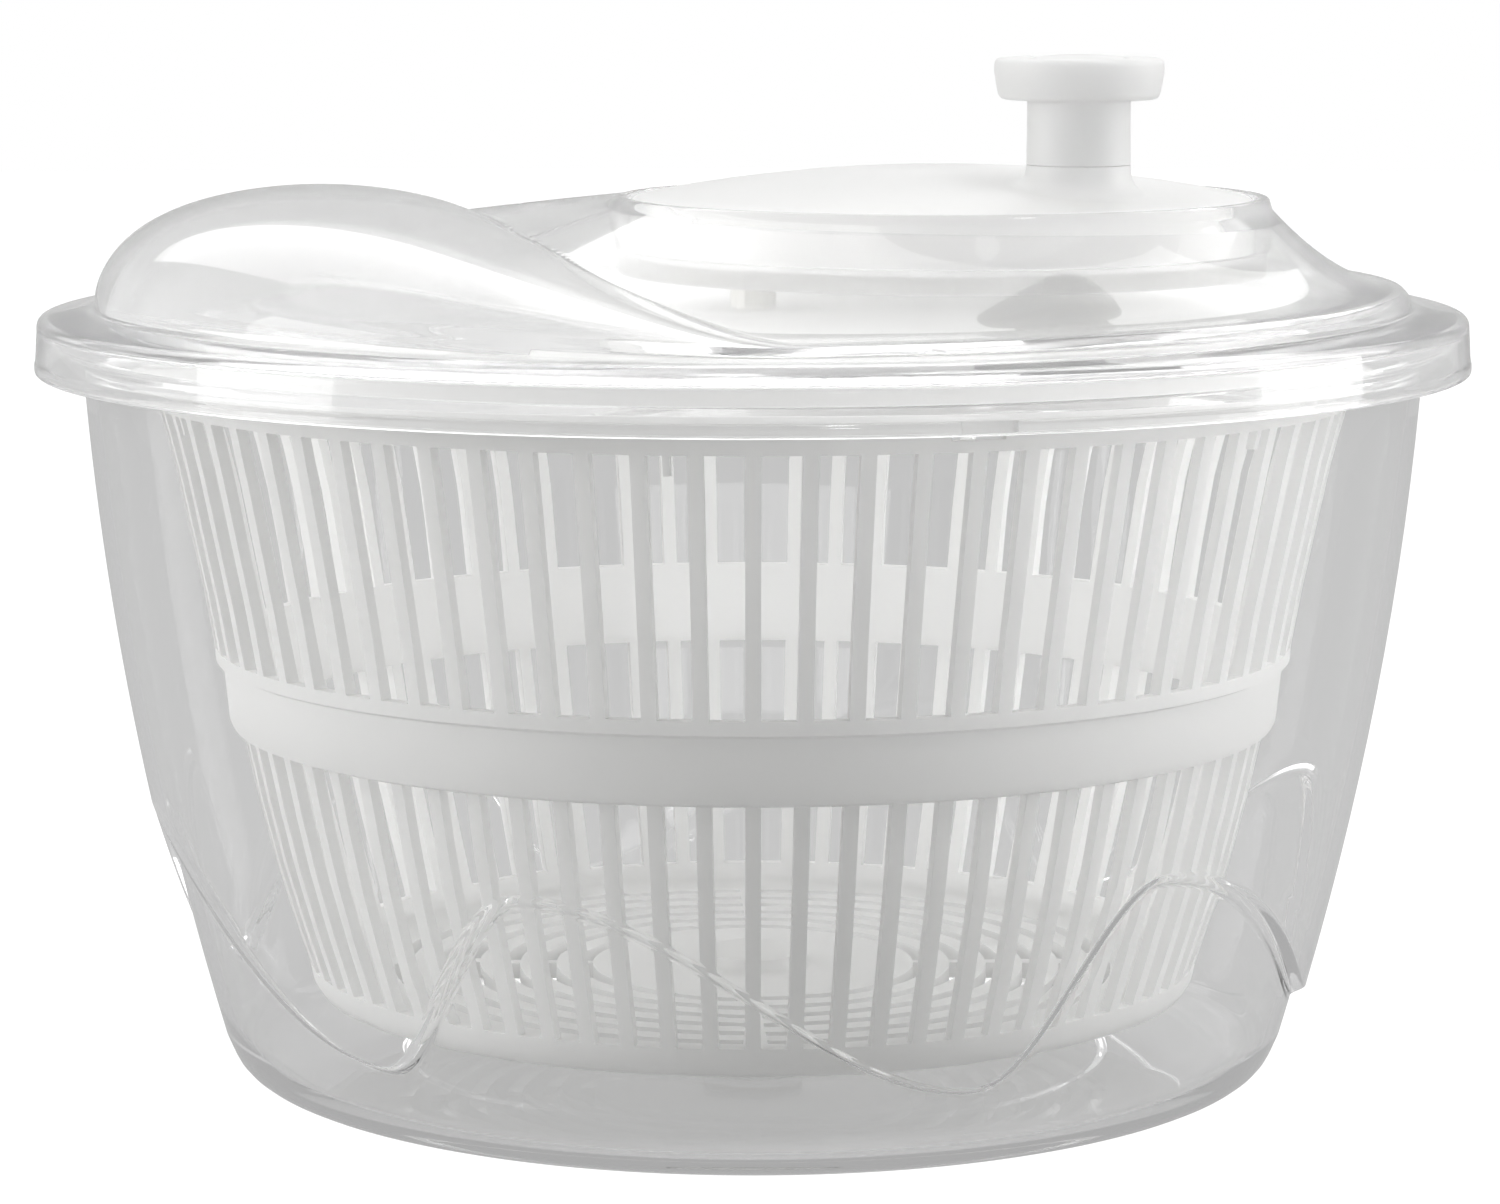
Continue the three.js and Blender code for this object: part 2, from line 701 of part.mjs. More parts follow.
/** Turning knob, modelled about its own post. */
function makeKnob() {
  const bore = postRadius + gap;
  const pocket = capRadius - 0.8;
  return turned(
    [
      [bore, knobBottom],
      [knobStemRadius, knobBottom],
      [knobStemRadius, knobHeadBottom],
      [knobHeadRadius - 1.6, knobHeadBottom],
      [knobHeadRadius - 0.6, knobHeadBottom + 1],
      [knobHeadRadius, knobTop - 2],
      [knobHeadRadius - 0.6, knobTop - 0.6],
      [knobHeadRadius - 2, knobTop],
      [capRadius + gap, knobTop],
      [capRadius + gap, capLedge - gap],
      [pocket, capLedge - gap],
      [pocket, knobPocketFloor],
      [bore, knobPocketFloor],
    ],
    smallSteps + 8,
  );
}

function makeKnobCap() {
  return turned(
    [
      [0, capLedge],
      [capRadius, capLedge],
      [capRadius, knobTop - 0.1],
      [capRadius - 1, knobTop + 0.4],
      [0, knobTop + 0.6],
    ],
    smallSteps + 8,
  );
}

// ---------------------------------------------------------------- carrier, plate and small parts

/** Dish that closes the turret from below and holds both bushes, modelled about the crank's axis. */
function makeGearCarrier() {
  const outer = openingRadius + collarWall - carrierInset;
  const inner = outer - carrierWall;
  const dish = turned(
    [
      [0, carrierBottom],
      [outer, carrierBottom],
      [outer, discEdge - collarDepth - gap],
      [inner, discEdge - collarDepth - gap],
      [inner, carrierTop],
      [0, carrierTop],
    ],
    roundSteps,
  );
  const hole = ring(0, bushRadius + gap, carrierBottom - 1, carrierTop + 1, smallSteps);
  return dish.subtract(hole).subtract(hole.translate([-crankOffset, 0, 0]));
}

/** Flanged bush that sits in the carrier's floor. */
function makeBush() {
  const bore = journalRadius + gap;
  return turned(
    [
      [bore, carrierBottom],
      [bushRadius, carrierBottom],
      [bushRadius, carrierTop + gap],
      [bushRadius + bushFlangeReach, carrierTop + gap],
      [bushRadius + bushFlangeReach, bushTop],
      [bore, bushTop],
    ],
    smallSteps,
  );
}

function makeThrustWasher() {
  const bottom = bushTop + gap;
  return ring(journalRadius + gap, journalRadius + 4, bottom, bottom + washerThickness, smallSteps);
}

/** Screw whose head is below its shank, with the shank's foot at a height. */
function screwUp(seat) {
  const head = seat - screwHead;
  const tip = seat + screwLength - 1.5;
  return turned(
    [
      [0, head + 0.9],
      [1.3, head + 0.9],
      [1.3, head],
      [screwHeadRadius - 0.7, head],
      [screwHeadRadius, head + 0.7],
      [screwHeadRadius, seat],
      [screwRadius, seat],
      [screwRadius, tip],
      [0, tip],
    ],
    smallSteps,
  );
}

/** The same screw with its head on top. */
function screwDown(seat) {
  return screwUp(0).rotate([180, 0, 0]).translate([0, 0, seat]);
}

/** Drive plate, whose lugs drop into the basket's ring. */
function makeDrivePlate() {
  const rimBottom = basketRimTop + gap;
  const rimTop = rimBottom + plateRim;
  const webBottom = rimTop - plateThickness;
  const rimInner = basketLipRadius - plateRimWidth;
  const plate = turned(
    [
      [0, plateHubBottom],
      [plateHubRadius, plateHubBottom],
      [plateHubRadius, webBottom],
      [rimInner, webBottom],
      [rimInner, rimBottom],
      [basketLipRadius, rimBottom],
      [basketLipRadius, rimTop],
      [plateHubRadius, rimTop],
      [plateHubRadius - 1, plateHubTop],
      [0, plateHubTop],
    ],
    roundSteps,
  );
  const lugDepthAll = lugDepth + 2;
  const lug = box(lugWidth, 4, lugDepthAll, 0, 0.5 - basketRimRadius, rimBottom + 2 - lugDepthAll / 2);
  const hole = box(squareEnd + 2 * gap, squareEnd + 2 * gap, 20, 0, 0, plateHubBottom);
  return plate.add(around(lug, lugCount, 20)).subtract(hole);
}

/** Washer just under a hub's lower face. */
function washerBelow(face) {
  const top = face - gap;
  return ring(boreRadius, journalRadius + washerReach, top - washerThickness, top, smallSteps);
}

// ---------------------------------------------------------------- assembly

const spinner = new THREE.Group();

function addPiece(group, name, solid, finish) {
  const mesh = new THREE.Mesh(geometryOf(solid), new THREE.MeshStandardMaterial(finish));
  mesh.name = name;
  group.add(mesh);
}

const crankGroup = new THREE.Group();
crankGroup.position.set(crankOffset, 0, 0);
const knobGroup = new THREE.Group();
knobGroup.position.set(postX, postY, 0);
crankGroup.add(knobGroup);
spinner.add(crankGroup);

addPiece(spinner, 'outer_bowl', makeBowl(), clearPlastic);
addPiece(spinner, 'basket_bearing', makeBasketBearing(), nylon);
addPiece(spinner, 'basket', makeBasket(), whitePlastic);

addPiece(spinner, 'lid', makeLid(), clearPlastic);
addPiece(crankGroup, 'gear_carrier', makeGearCarrier(), clearPlastic);
addPiece(crankGroup, 'crank_bush', makeBush(), nylon);
addPiece(spinner, 'pinion_bush', makeBush(), nylon);

addPiece(crankGroup, 'crank_disc', makeCrankDisc(), whitePlastic);
addPiece(crankGroup, 'ring_gear', makeRingGear(), nylon);
const crankWasherFace = carrierBottom - gap - 0.5;
addPiece(crankGroup, 'crank_washer', washerBelow(crankWasherFace), steel);
addPiece(crankGroup, 'crank_screw', screwUp(crankWasherFace - washerThickness - 2 * gap), steel);

addPiece(spinner, 'pinion', makePinion(), nylon);
addPiece(spinner, 'thrust_washer', makeThrustWasher(), nylon);
addPiece(spinner, 'drive_plate', makeDrivePlate(), whitePlastic);
addPiece(spinner, 'drive_washer', washerBelow(plateHubBottom), steel);
addPiece(spinner, 'drive_screw', screwUp(plateHubBottom - washerThickness - 2 * gap), steel);

addPiece(knobGroup, 'knob', makeKnob(), whitePlastic);
addPiece(knobGroup, 'knob_cap', makeKnobCap(), whitePlastic);
const knobWasherBottom = knobPocketFloor + 0.4 + gap;
const knobWasher = ring(boreRadius, 6.4, knobWasherBottom, knobWasherBottom + washerThickness, smallSteps);
addPiece(knobGroup, 'knob_washer', knobWasher, steel);
addPiece(knobGroup, 'knob_screw', screwDown(knobWasherBottom + washerThickness + gap), steel);

export default spinner;
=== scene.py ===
"""Salad spinner: clear bowl, slatted basket, and clear lid with an off-centre crank, on its frame."""

import math

import bmesh
import bpy
import numpy as np
from bpy.props import FloatProperty, FloatVectorProperty, IntProperty, PointerProperty
from mathutils import Euler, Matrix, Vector


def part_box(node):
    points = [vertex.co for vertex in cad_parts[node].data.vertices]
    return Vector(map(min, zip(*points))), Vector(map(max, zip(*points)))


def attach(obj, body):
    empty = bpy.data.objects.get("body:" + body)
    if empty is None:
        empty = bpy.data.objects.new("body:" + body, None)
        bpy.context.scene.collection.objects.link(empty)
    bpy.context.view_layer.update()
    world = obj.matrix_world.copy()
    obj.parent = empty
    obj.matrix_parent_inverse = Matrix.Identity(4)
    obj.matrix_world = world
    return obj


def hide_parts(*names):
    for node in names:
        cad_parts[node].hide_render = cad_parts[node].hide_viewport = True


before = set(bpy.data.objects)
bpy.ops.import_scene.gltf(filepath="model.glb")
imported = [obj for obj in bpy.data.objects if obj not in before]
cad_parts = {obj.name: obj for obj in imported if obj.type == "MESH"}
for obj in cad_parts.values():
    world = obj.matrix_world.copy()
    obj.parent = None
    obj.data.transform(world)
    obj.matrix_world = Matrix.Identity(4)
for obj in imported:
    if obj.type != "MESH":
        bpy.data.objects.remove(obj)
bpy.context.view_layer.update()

bl_info = {
    "name": "Salad spinner",
    "version": (1, 0, 0),
    "blender": (4, 5, 0),
    "location": "3D View > Sidebar > Spinner",
    "description": "Builds a clear salad spinner round its packed frame",
    "category": "Object",
}

BOWL_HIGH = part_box("outer_bowl")[1]
LID_LOW, LID_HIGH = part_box("lid")
DISC_LOW, DISC_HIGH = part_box("crank_disc")
KNOB_LOW, KNOB_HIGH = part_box("knob")
BASKET_LOW, BASKET_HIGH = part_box("basket")
PLATE_LOW, PLATE_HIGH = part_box("drive_plate")
RING_LOW, RING_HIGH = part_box("ring_gear")
CARRIER_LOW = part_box("gear_carrier")[0]
BEARING_LOW, BEARING_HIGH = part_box("basket_bearing")

CRANK_X = (RING_LOW.x + RING_HIGH.x) / 2
KNOB_X = (KNOB_LOW.x + KNOB_HIGH.x) / 2
KNOB_Y = (KNOB_LOW.y + KNOB_HIGH.y) / 2
DISC_RADIUS = (DISC_HIGH.x - DISC_LOW.x) / 2
AROUND = 360  # steps of a circle
REST_GAP = 0.0003  # between pieces that rest on each other
DISC_PROUD = 0.0002  # disc's edge over the turret's rim
POST_RADIUS = 0.0042  # post that the knob turns on
SOCKET_RADIUS = 0.0045  # knob's hole over that post


# ---------------------------------------------------------------- settings


def length(name, description, default):
    """A size in metres."""
    return FloatProperty(name=name, description=description, default=default, unit="LENGTH", precision=5)


def share(name, description, default):
    """A number from 0 to 1."""
    return FloatProperty(name=name, description=description, default=default, min=0, max=1, subtype="FACTOR")


def colour(name, description, default):
    """A colour without alpha."""
    return FloatVectorProperty(
        name=name, description=description, default=default, size=3, min=0, max=1, subtype="COLOR"
    )


class BowlSettings(bpy.types.PropertyGroup):
    """Sizes of the clear bowl."""

    wall: length("Wall", "Thickness of the moulded wall", 0.0022)
    rim_radius: length("Rim radius", "Outside radius just under the lip", BOWL_HIGH.x - 0.0052)
    foot_radius: length("Foot radius", "Where the side's line meets the table", 0.0938)
    belly: share("Belly", "Share of the taper that comes low on the side", 0.59)
    neck: length("Neck", "From the rim down to where the taper starts", 0.012)
    base_radius: length("Base radius", "Radius of the flat foot", 0.085)
    corner: length("Corner", "Height of the rounded corner over the foot", 0.008)
    floor_top: length("Floor", "Height of the inside floor", 0.0034)
    wave_count: IntProperty(name="Waves", description="Waves in the step round the foot", default=6, min=1)
    wave_trough: length("Wave trough", "Lowest height of the step", 0.0156)
    wave_crest: length("Wave crest", "Highest height of the step", 0.048)
    wave_inset: length("Wave inset", "How far the foot stands in under the step", 0.0022)
    wave_rise: share("Wave rise", "Share of a wave that climbs", 0.29)
    wave_start: FloatProperty(
        name="Wave start",
        description="Angle of a trough from the front",
        default=math.radians(21.9),
        subtype="ANGLE",
    )


class BasketSettings(bpy.types.PropertyGroup):
    """Sizes of the slatted basket."""

    ribs: IntProperty(name="Ribs", description="Upright ribs round the basket", default=72, min=12)
    rib_width: length("Rib width", "Width of one rib", 0.0025)
    wall: length("Wall", "Thickness of ribs and bands", 0.002)
    band_top: length("Band top", "Top of the solid middle band", 0.0765)
    band_bottom: length("Band bottom", "Foot of the solid middle band", 0.062)
    slot_bottom: length("Slot bottom", "Foot of the lower slots", 0.020)
    ring_depth: length("Ring depth", "From the rim down to the upper slots", 0.0062)
    lip: length("Lip", "How far the rim's lip stands out", 0.0032)
    lean: share("Lean", "Outward slope of the upper ribs", 0.208)
    foot_radius: length("Foot radius", "Outside radius at the lower slots' foot", 0.079)
    lower_flare: length("Lower flare", "How much wider the lower ribs are at their top", 0.0113)
    band_step: length("Band step", "How far the band stands proud of the lower ribs", 0.0021)
    floor_height: length("Floor height", "Height of the floor's underside", 0.0145)
    floor_thickness: length("Floor", "Thickness of the floor", 0.0022)
    slot_rings: IntProperty(name="Slot rings", description="Rings of slots in the floor", default=6, min=1)
    slot_first: length("First slot", "Radius of the innermost ring of slots", 0.030)
    slot_pitch: length("Slot pitch", "From one ring of slots to the next", 0.0065)
    slot_width: length("Slot width", "Width of a floor slot", 0.0028)
    floor_step: length("Floor step", "How far the floor rises outside its plain middle", 0.0006)
    hub_radius: length("Hub radius", "Outside radius of the hub under the floor", 0.0090)


class LidSettings(bpy.types.PropertyGroup):
    """Sizes of the clear lid."""

    skin: length("Skin", "Thickness of the moulded skin", 0.002)
    flange: length("Flange", "From the band's outside in to the dome's foot", 0.0104)
    deck_rise: length("Deck rise", "Deck above the dome's foot", 0.0015)
    turret_rise: length("Turret rise", "Turret's rim above the deck", 0.0162)
    lobe_rise: length("Lobe rise", "Lobe's top above the dome's foot", 0.0206)
    collar_wall: length("Collar wall", "Thickness of the collar in the opening", 0.0024)
    collar_depth: length("Collar depth", "Depth of the collar in the opening", 0.010)
    opening_fit: length("Opening fit", "Room between the disc and the collar", 0.0007)


class CrankSettings(bpy.types.PropertyGroup):
    """Sizes of the crank disc and its knob."""

    crown: length("Crown", "Rise of the disc's dome", 0.0054)
    skirt_depth: length("Skirt depth", "Height of the disc's skirt", 0.0117)
    skirt_wall: length("Skirt wall", "Thickness of the disc's skirt", 0.0019)
    boss_height: length("Boss height", "Height of the flared boss under the knob", 0.0039)
    boss_flare: length("Boss flare", "How far the boss spreads at its foot", 0.0034)
    stem_radius: length("Stem radius", "Radius of the knob's stem", 0.0088)
    head_height: length("Head height", "Height of the knob's head", 0.007)


class FinishSettings(bpy.types.PropertyGroup):
    """Colours of the finishes."""

    clear: colour("Clear plastic", "Tint of the clear plastic", (0.99, 0.99, 0.99))
    lid: colour("Lid plastic", "Tint of the lid's clear plastic", (0.98, 0.98, 0.98))
    white: colour("White plastic", "Colour of the basket, disc and knob", (0.88, 0.88, 0.875))
    nylon: colour("Nylon", "Colour of the gears and bushes", (0.72, 0.71, 0.67))
    steel: colour("Steel", "Colour of the screws and washers", (0.6, 0.61, 0.62))


class StageSettings(bpy.types.PropertyGroup):
    """The camera and the light."""

    distance: length("Camera distance", "From the camera to the bowl's axis", 0.850)
    height: length("Camera height", "Height of the camera over the table", 0.2035)
    aside: length("Camera aside", "How far the camera stands to the left", 0.0005)
    pitch: FloatProperty(
        name="Pitch",
        description="How far the camera looks down",
        default=math.radians(8.135),
        subtype="ANGLE",
    )
    lens: FloatProperty(name="Lens", description="Focal length", default=116.4, unit="CAMERA")
    backdrop: colour("Backdrop", "Grey of the room behind the spinner", (0.58, 0.58, 0.58))
    bright_side: colour("Bright sides", "Light of the room at the sides and above", (0.75, 0.75, 0.75))
    shade_side: colour("Shade side", "Light of the room in front", (0.2, 0.2, 0.2))
    knob_light: FloatProperty(
        name="Knob light", description="Power of the knob's spot", default=28, unit="POWER"
    )
    floor: colour("Floor", "Colour of the floor", (0.14, 0.14, 0.14))


def settings(name):
    """The named group of settings of the scene."""
    return getattr(bpy.context.scene, "spinner_" + name)


# ---------------------------------------------------------------- shader tools


WHITE = (1.0, 1.0, 1.0, 1.0)


class Term:
    """A number socket that Python's signs work on."""

    def __init__(self, sheet, socket):
        self.sheet = sheet
        self.socket = socket

    def __add__(self, other):
        return self.sheet.math("ADD", self, other)

    __radd__ = __add__

    def __mul__(self, other):
        return self.sheet.math("MULTIPLY", self, other)

    __rmul__ = __mul__

    def __gt__(self, other):
        return self.sheet.math("GREATER_THAN", self, other)

    def or_more(self, other):
        """The larger of the two."""
        return self.sheet.math("MAXIMUM", self, other)


class Sheet:
    """A node tree that is filled by calls."""

    def __init__(self, tree):
        self.tree = tree
        tree.nodes.clear()

    def node(self, kind, options=None, inputs=None):
        """Adds a node, sets its options first and then its sockets, by value or by link."""
        made = self.tree.nodes.new(kind)
        for key, value in (options or {}).items():
            setattr(made, key, value)
        for key, value in (inputs or {}).items():
            if isinstance(value, Term):
                value = value.socket
            if isinstance(value, bpy.types.NodeSocket):
                self.tree.links.new(value, made.inputs[key])
            else:
                made.inputs[key].default_value = value
        return made

    def math(self, operation, first, second):
        """A number worked out from two."""
        made = self.node("ShaderNodeMath", {"operation": operation}, {0: first, 1: second})
        return Term(self, made.outputs[0])

    def noise(self, scale, detail):
        """Soft noise from 0 to 1, in object coordinates."""
        place = self.node("ShaderNodeTexCoord")
        inputs = {"Vector": place.outputs["Object"], "Scale": scale, "Detail": detail}
        return Term(self, self.node("ShaderNodeTexNoise", None, inputs).outputs["Fac"])

    def blend(self, factor, first, second):
        """A colour between two."""
        made = self.node("ShaderNodeMix", {"data_type": "RGBA"}, {0: factor, 6: first, 7: second})
        return made.outputs[2]

    def bump(self, height, distance):
        """The normal of a relief of that depth."""
        inputs = {"Height": height, "Distance": distance, "Strength": 1.0}
        return self.node("ShaderNodeBump", None, inputs).outputs["Normal"]

    def mix(self, factor, first, second):
        """A share of the second shader over the first."""
        inputs = {0: factor, 1: first.outputs[0], 2: second.outputs[0]}
        return self.node("ShaderNodeMixShader", None, inputs)

    def glow(self, strength):
        """A white light of its own."""
        return self.node("ShaderNodeEmission", None, {"Color": WHITE, "Strength": strength})

    def surface(self, shader):
        """Makes the shader the material's surface."""
        self.node("ShaderNodeOutputMaterial", None, {"Surface": shader.outputs[0]})


def new_sheet(name):
    """The empty sheet of a new material."""
    material = bpy.data.materials.new(name)
    material.use_nodes = True
    return Sheet(material.node_tree)


def shade(base, factor=1.0):
    """A colour with alpha, lighter or darker than the base if asked."""
    return tuple(min(1.0, part * factor) for part in base) + (1.0,)


def clear_plastic(name, tint, haze, milk=0.0):
    """Clear moulded plastic. Haze blurs what is behind it, and milk clouds it.

    Lamps shine through it, and a path that is caught inside it leaves straight ahead.
    """
    caught = 5.5  # bounces, after which a path counts as caught
    sheet = new_sheet(name)
    smudge = sheet.noise(28.0, 4.0)
    flow = sheet.noise(14.0, 2.0)
    body = sheet.node(
        "ShaderNodeBsdfPrincipled",
        None,
        {
            "Base Color": sheet.blend(flow, shade(tint, 0.992), shade(tint, 1.008)),
            "Roughness": smudge * haze + haze * 0.6,
            "IOR": 1.3,
            "Transmission Weight": 1.0,
        },
    )
    if milk:
        cloud = sheet.node("ShaderNodeBsdfTranslucent", None, {"Color": (0.95, 0.95, 0.95, 1)})
        body = sheet.mix(milk, body, cloud)
    light = sheet.node("ShaderNodeLightPath")
    through = sheet.node("ShaderNodeBsdfTransparent", None, {"Color": WHITE})
    deep = Term(sheet, light.outputs["Ray Depth"]) > caught
    sheet.surface(sheet.mix(deep.or_more(light.outputs["Is Shadow Ray"]), body, through))


def moulded_plastic(name, base, roughness, grain=0.0, thin=0.0):
    """Moulded plastic with faint flow marks, and a fine grain if asked. Thin walls let some light through."""
    sheet = new_sheet(name)
    cloud = sheet.noise(18.0, 3.0)
    wear = sheet.noise(60.0, 1.0)
    inputs = {
        "Base Color": sheet.blend(cloud, shade(base, 0.975), shade(base, 1.02)),
        "Roughness": wear * 0.16 + (roughness - 0.08),
        "IOR": 1.49,
    }
    if grain:
        inputs["Normal"] = sheet.bump(sheet.noise(1400.0, 1.0), grain)
    body = sheet.node("ShaderNodeBsdfPrincipled", None, inputs)
    if thin:
        through = sheet.node("ShaderNodeBsdfTranslucent", None, {"Color": shade(base, 1.05)})
        body = sheet.mix(thin, body, through)
    sheet.surface(body)


def turned_steel(name, base):
    """Zinc-plated steel with fine turning marks."""
    sheet = new_sheet(name)
    marks = sheet.noise(1800.0, 2.0)
    body = sheet.node(
        "ShaderNodeBsdfPrincipled",
        None,
        {
            "Base Color": sheet.blend(marks, shade(base, 0.9), shade(base, 1.08)),
            "Metallic": 1.0,
            "Roughness": marks * 0.15 + 0.3,
            "Normal": sheet.bump(marks, 0.00002),
        },
    )
    sheet.surface(body)


# ---------------------------------------------------------------- mesh tools


def circle(radius, height, centre=(0.0, 0.0), steps=AROUND):
    """Points round a centre, from the front towards +X. Radius and height may change with the angle."""
    angle = np.linspace(0, 2 * np.pi, steps, endpoint=False)
    radius = np.broadcast_to(radius, angle.shape)
    x = centre[0] + radius * np.sin(angle)
    y = centre[1] - radius * np.cos(angle)
    return np.stack([x, y, np.broadcast_to(height, angle.shape)], axis=1)


def circles(outline, centre=(0.0, 0.0), steps=AROUND):
    """One circle for each [radius, height] of an outline."""
    return [circle(radius, height, centre, steps) for radius, height in outline]


def rounded(corners, arc_steps=4):
    """An outline whose corners [radius, height, fillet] are rounded."""
    points = [np.array(corner[:2], float) for corner in corners]
    result = []
    for i, corner in enumerate(corners):
        fillet = corner[2] if len(corner) > 2 else 0
        if not fillet or i in (0, len(corners) - 1):
            result.append(points[i])
            continue
        before, after = points[i - 1] - points[i], points[i + 1] - points[i]
        near = min(fillet, 0.49 * np.linalg.norm(before), 0.49 * np.linalg.norm(after))
        start = points[i] + before / np.linalg.norm(before) * near
        end = points[i] + after / np.linalg.norm(after) * near
        for step in range(arc_steps + 1):
            t = step / arc_steps
            result.append((1 - t) ** 2 * start + 2 * t * (1 - t) * points[i] + t * t * end)
    return [(float(point[0]), float(point[1])) for point in result]


def new_object(name, vertices, faces, sharp=35):
    """A smooth object of vertices and faces, with edges over an angle kept sharp."""
    mesh = bpy.data.meshes.new(name)
    mesh.from_pydata([tuple(map(float, vertex)) for vertex in vertices], [], faces)
    work = bmesh.new()
    work.from_mesh(mesh)
    bmesh.ops.remove_doubles(work, verts=work.verts, dist=1e-7)
    bmesh.ops.recalc_face_normals(work, faces=work.faces)
    work.to_mesh(mesh)
    work.free()
    mesh.shade_smooth()
    mesh.set_sharp_from_angle(angle=math.radians(sharp))
    made = bpy.data.objects.new(name, mesh)
    bpy.context.scene.collection.objects.link(made)
    return made


def skin_rows(rows, closed=False):
    """Vertices and faces of the surface through rows of points, which close on themselves if asked."""
    count, steps = len(rows), len(rows[0])
    faces = []
    for row in range(count if closed else count - 1):
        above = (row + 1) % count
        for step in range(steps):
            after = (step + 1) % steps
            corners = (row * steps + step, row * steps + after, above * steps + after, above * steps + step)
            faces.append(corners)
    return np.concatenate(rows), faces


def skinned(name, rows, closed=False, sharp=35):
    """A smooth object through rows of points."""
    vertices, faces = skin_rows(rows, closed)
    return new_object(name, vertices, faces, sharp)


def set_material(piece, name):
    """Leaves the named material as the only one."""
    piece.data.materials.clear()
    piece.data.materials.append(bpy.data.materials[name])


def finish_piece(piece, material, body, slot, *nodes):
    """Gives a piece its material and its body, and hides the CAD nodes that it stands for."""
    set_material(piece, material)
    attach(piece, body)
    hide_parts(*nodes)


def smooth_step(low, high, value):
    """Climbs from 0 to 1 between low and high."""
    t = np.clip((value - low) / (high - low), 0, 1)
    return t * t * (3 - 2 * t)


# ---------------------------------------------------------------- bowl


def wall_radius(bowl, height):
    """Outside radius of the side above the wave."""
    neck = BOWL_HIGH.z - bowl.neck
    down = (neck - height) / neck
    drop = (1 - bowl.belly) * down + bowl.belly * down * down
    return bowl.rim_radius - (bowl.rim_radius - bowl.foot_radius) * drop


def wave_line(bowl, angle):
    """Height of the step, and the slope of its line, at angles from the front."""
    turn = (angle - bowl.wave_start) * bowl.wave_count / (2 * np.pi)
    part = turn - np.floor(turn)
    swing = np.where(part < bowl.wave_rise, part / bowl.wave_rise, (1 - part) / (1 - bowl.wave_rise))
    return bowl.wave_trough + (bowl.wave_crest - bowl.wave_trough) * (0.5 - 0.5 * np.cos(np.pi * swing))


def bowl_side(bowl, inward):
    """Rows of the side from the corner to the neck, through the wave-shaped step."""
    trough_half, crest_half = 0.0009, 0.0015  # half the step's height, at a trough and at a crest
    angle = np.linspace(0, 2 * np.pi, AROUND, endpoint=False)
    line = wave_line(bowl, angle)
    steepness = np.abs(np.gradient(line)) / (2 * np.pi / AROUND * bowl.rim_radius)
    crest_share = (line - bowl.wave_trough) / (bowl.wave_crest - bowl.wave_trough)
    half = (trough_half + (crest_half - trough_half) * crest_share) * np.sqrt(1 + steepness**2)
    rows = []
    low, high = bowl.corner, BOWL_HIGH.z - bowl.neck
    for t in np.linspace(0, 1, 7)[:-1]:
        height = low + (line - half - low) * t
        rows.append(circle(wall_radius(bowl, height) - bowl.wave_inset - inward, height))
    for t in np.linspace(-1, 1, 11):
        height = line + half * t
        inset = bowl.wave_inset * (0.5 - 0.5 * np.sin(t * np.pi / 2))
        rows.append(circle(wall_radius(bowl, height) - inset - inward, height))
    for t in np.linspace(0, 1, 15)[1:]:
        height = line + half + (high - line - half) * t
        rows.append(circle(wall_radius(bowl, height) - inward, height))
    return rows


class SPINNER_OT_bowl(bpy.types.Operator):
    """Builds the clear bowl"""

    bl_idname = "spinner.bowl"
    bl_label = "Bowl"

    def execute(self, context):
        bowl = settings("bowl")
        top = BOWL_HIGH.z
        corner = wall_radius(bowl, bowl.corner) - bowl.wave_inset
        hollow, hollow_depth = 0.063, 0.0012
        foot = rounded(
            [
                (0, hollow_depth),
                (hollow - hollow_depth, hollow_depth, 0.0006),
                (hollow, 0, 0.0006),
                (bowl.base_radius, 0, 0.004),
                (corner - 0.0024, 0.0024, 0.005),
                (corner, bowl.corner),
            ]
        )
        neck = wall_radius(bowl, top - bowl.neck)
        lip = rounded(
            [
                (neck, top - bowl.neck),
                (bowl.rim_radius + 0.0004, top - 0.006, 0.002),
                (BOWL_HIGH.x, top - 0.003, 0.001),
                (BOWL_HIGH.x, top, 0.0012),
                (bowl.rim_radius - bowl.wall, top, 0.0012),
                (neck - bowl.wall, top - bowl.neck),
            ]
        )
        shoulder = BEARING_LOW.z - REST_GAP
        spindle, spindle_top = 0.003, BEARING_HIGH.z - 0.001
        inside = rounded(
            [
                (corner - bowl.wall, bowl.corner),
                (corner - bowl.wall - 0.0028, 0.0044, 0.005),
                (bowl.base_radius - 0.002, bowl.floor_top, 0.004),
                (0.0115, bowl.floor_top, 0.002),
                (0.0085, shoulder, 0.0008),
                (spindle, shoulder, 0.0003),
                (spindle, spindle_top, 0.001),
                (0, spindle_top),
            ]
        )
        rows = circles(foot[:-1]) + bowl_side(bowl, 0)[:-1] + circles(lip[:-1])
        rows += bowl_side(bowl, bowl.wall)[::-1] + circles(inside[1:])
        piece = skinned("bowl", rows, sharp=60)
        finish_piece(piece, "clear_bowl", "bowl", "clear_plastic", "outer_bowl")
        return {"FINISHED"}


# ---------------------------------------------------------------- basket


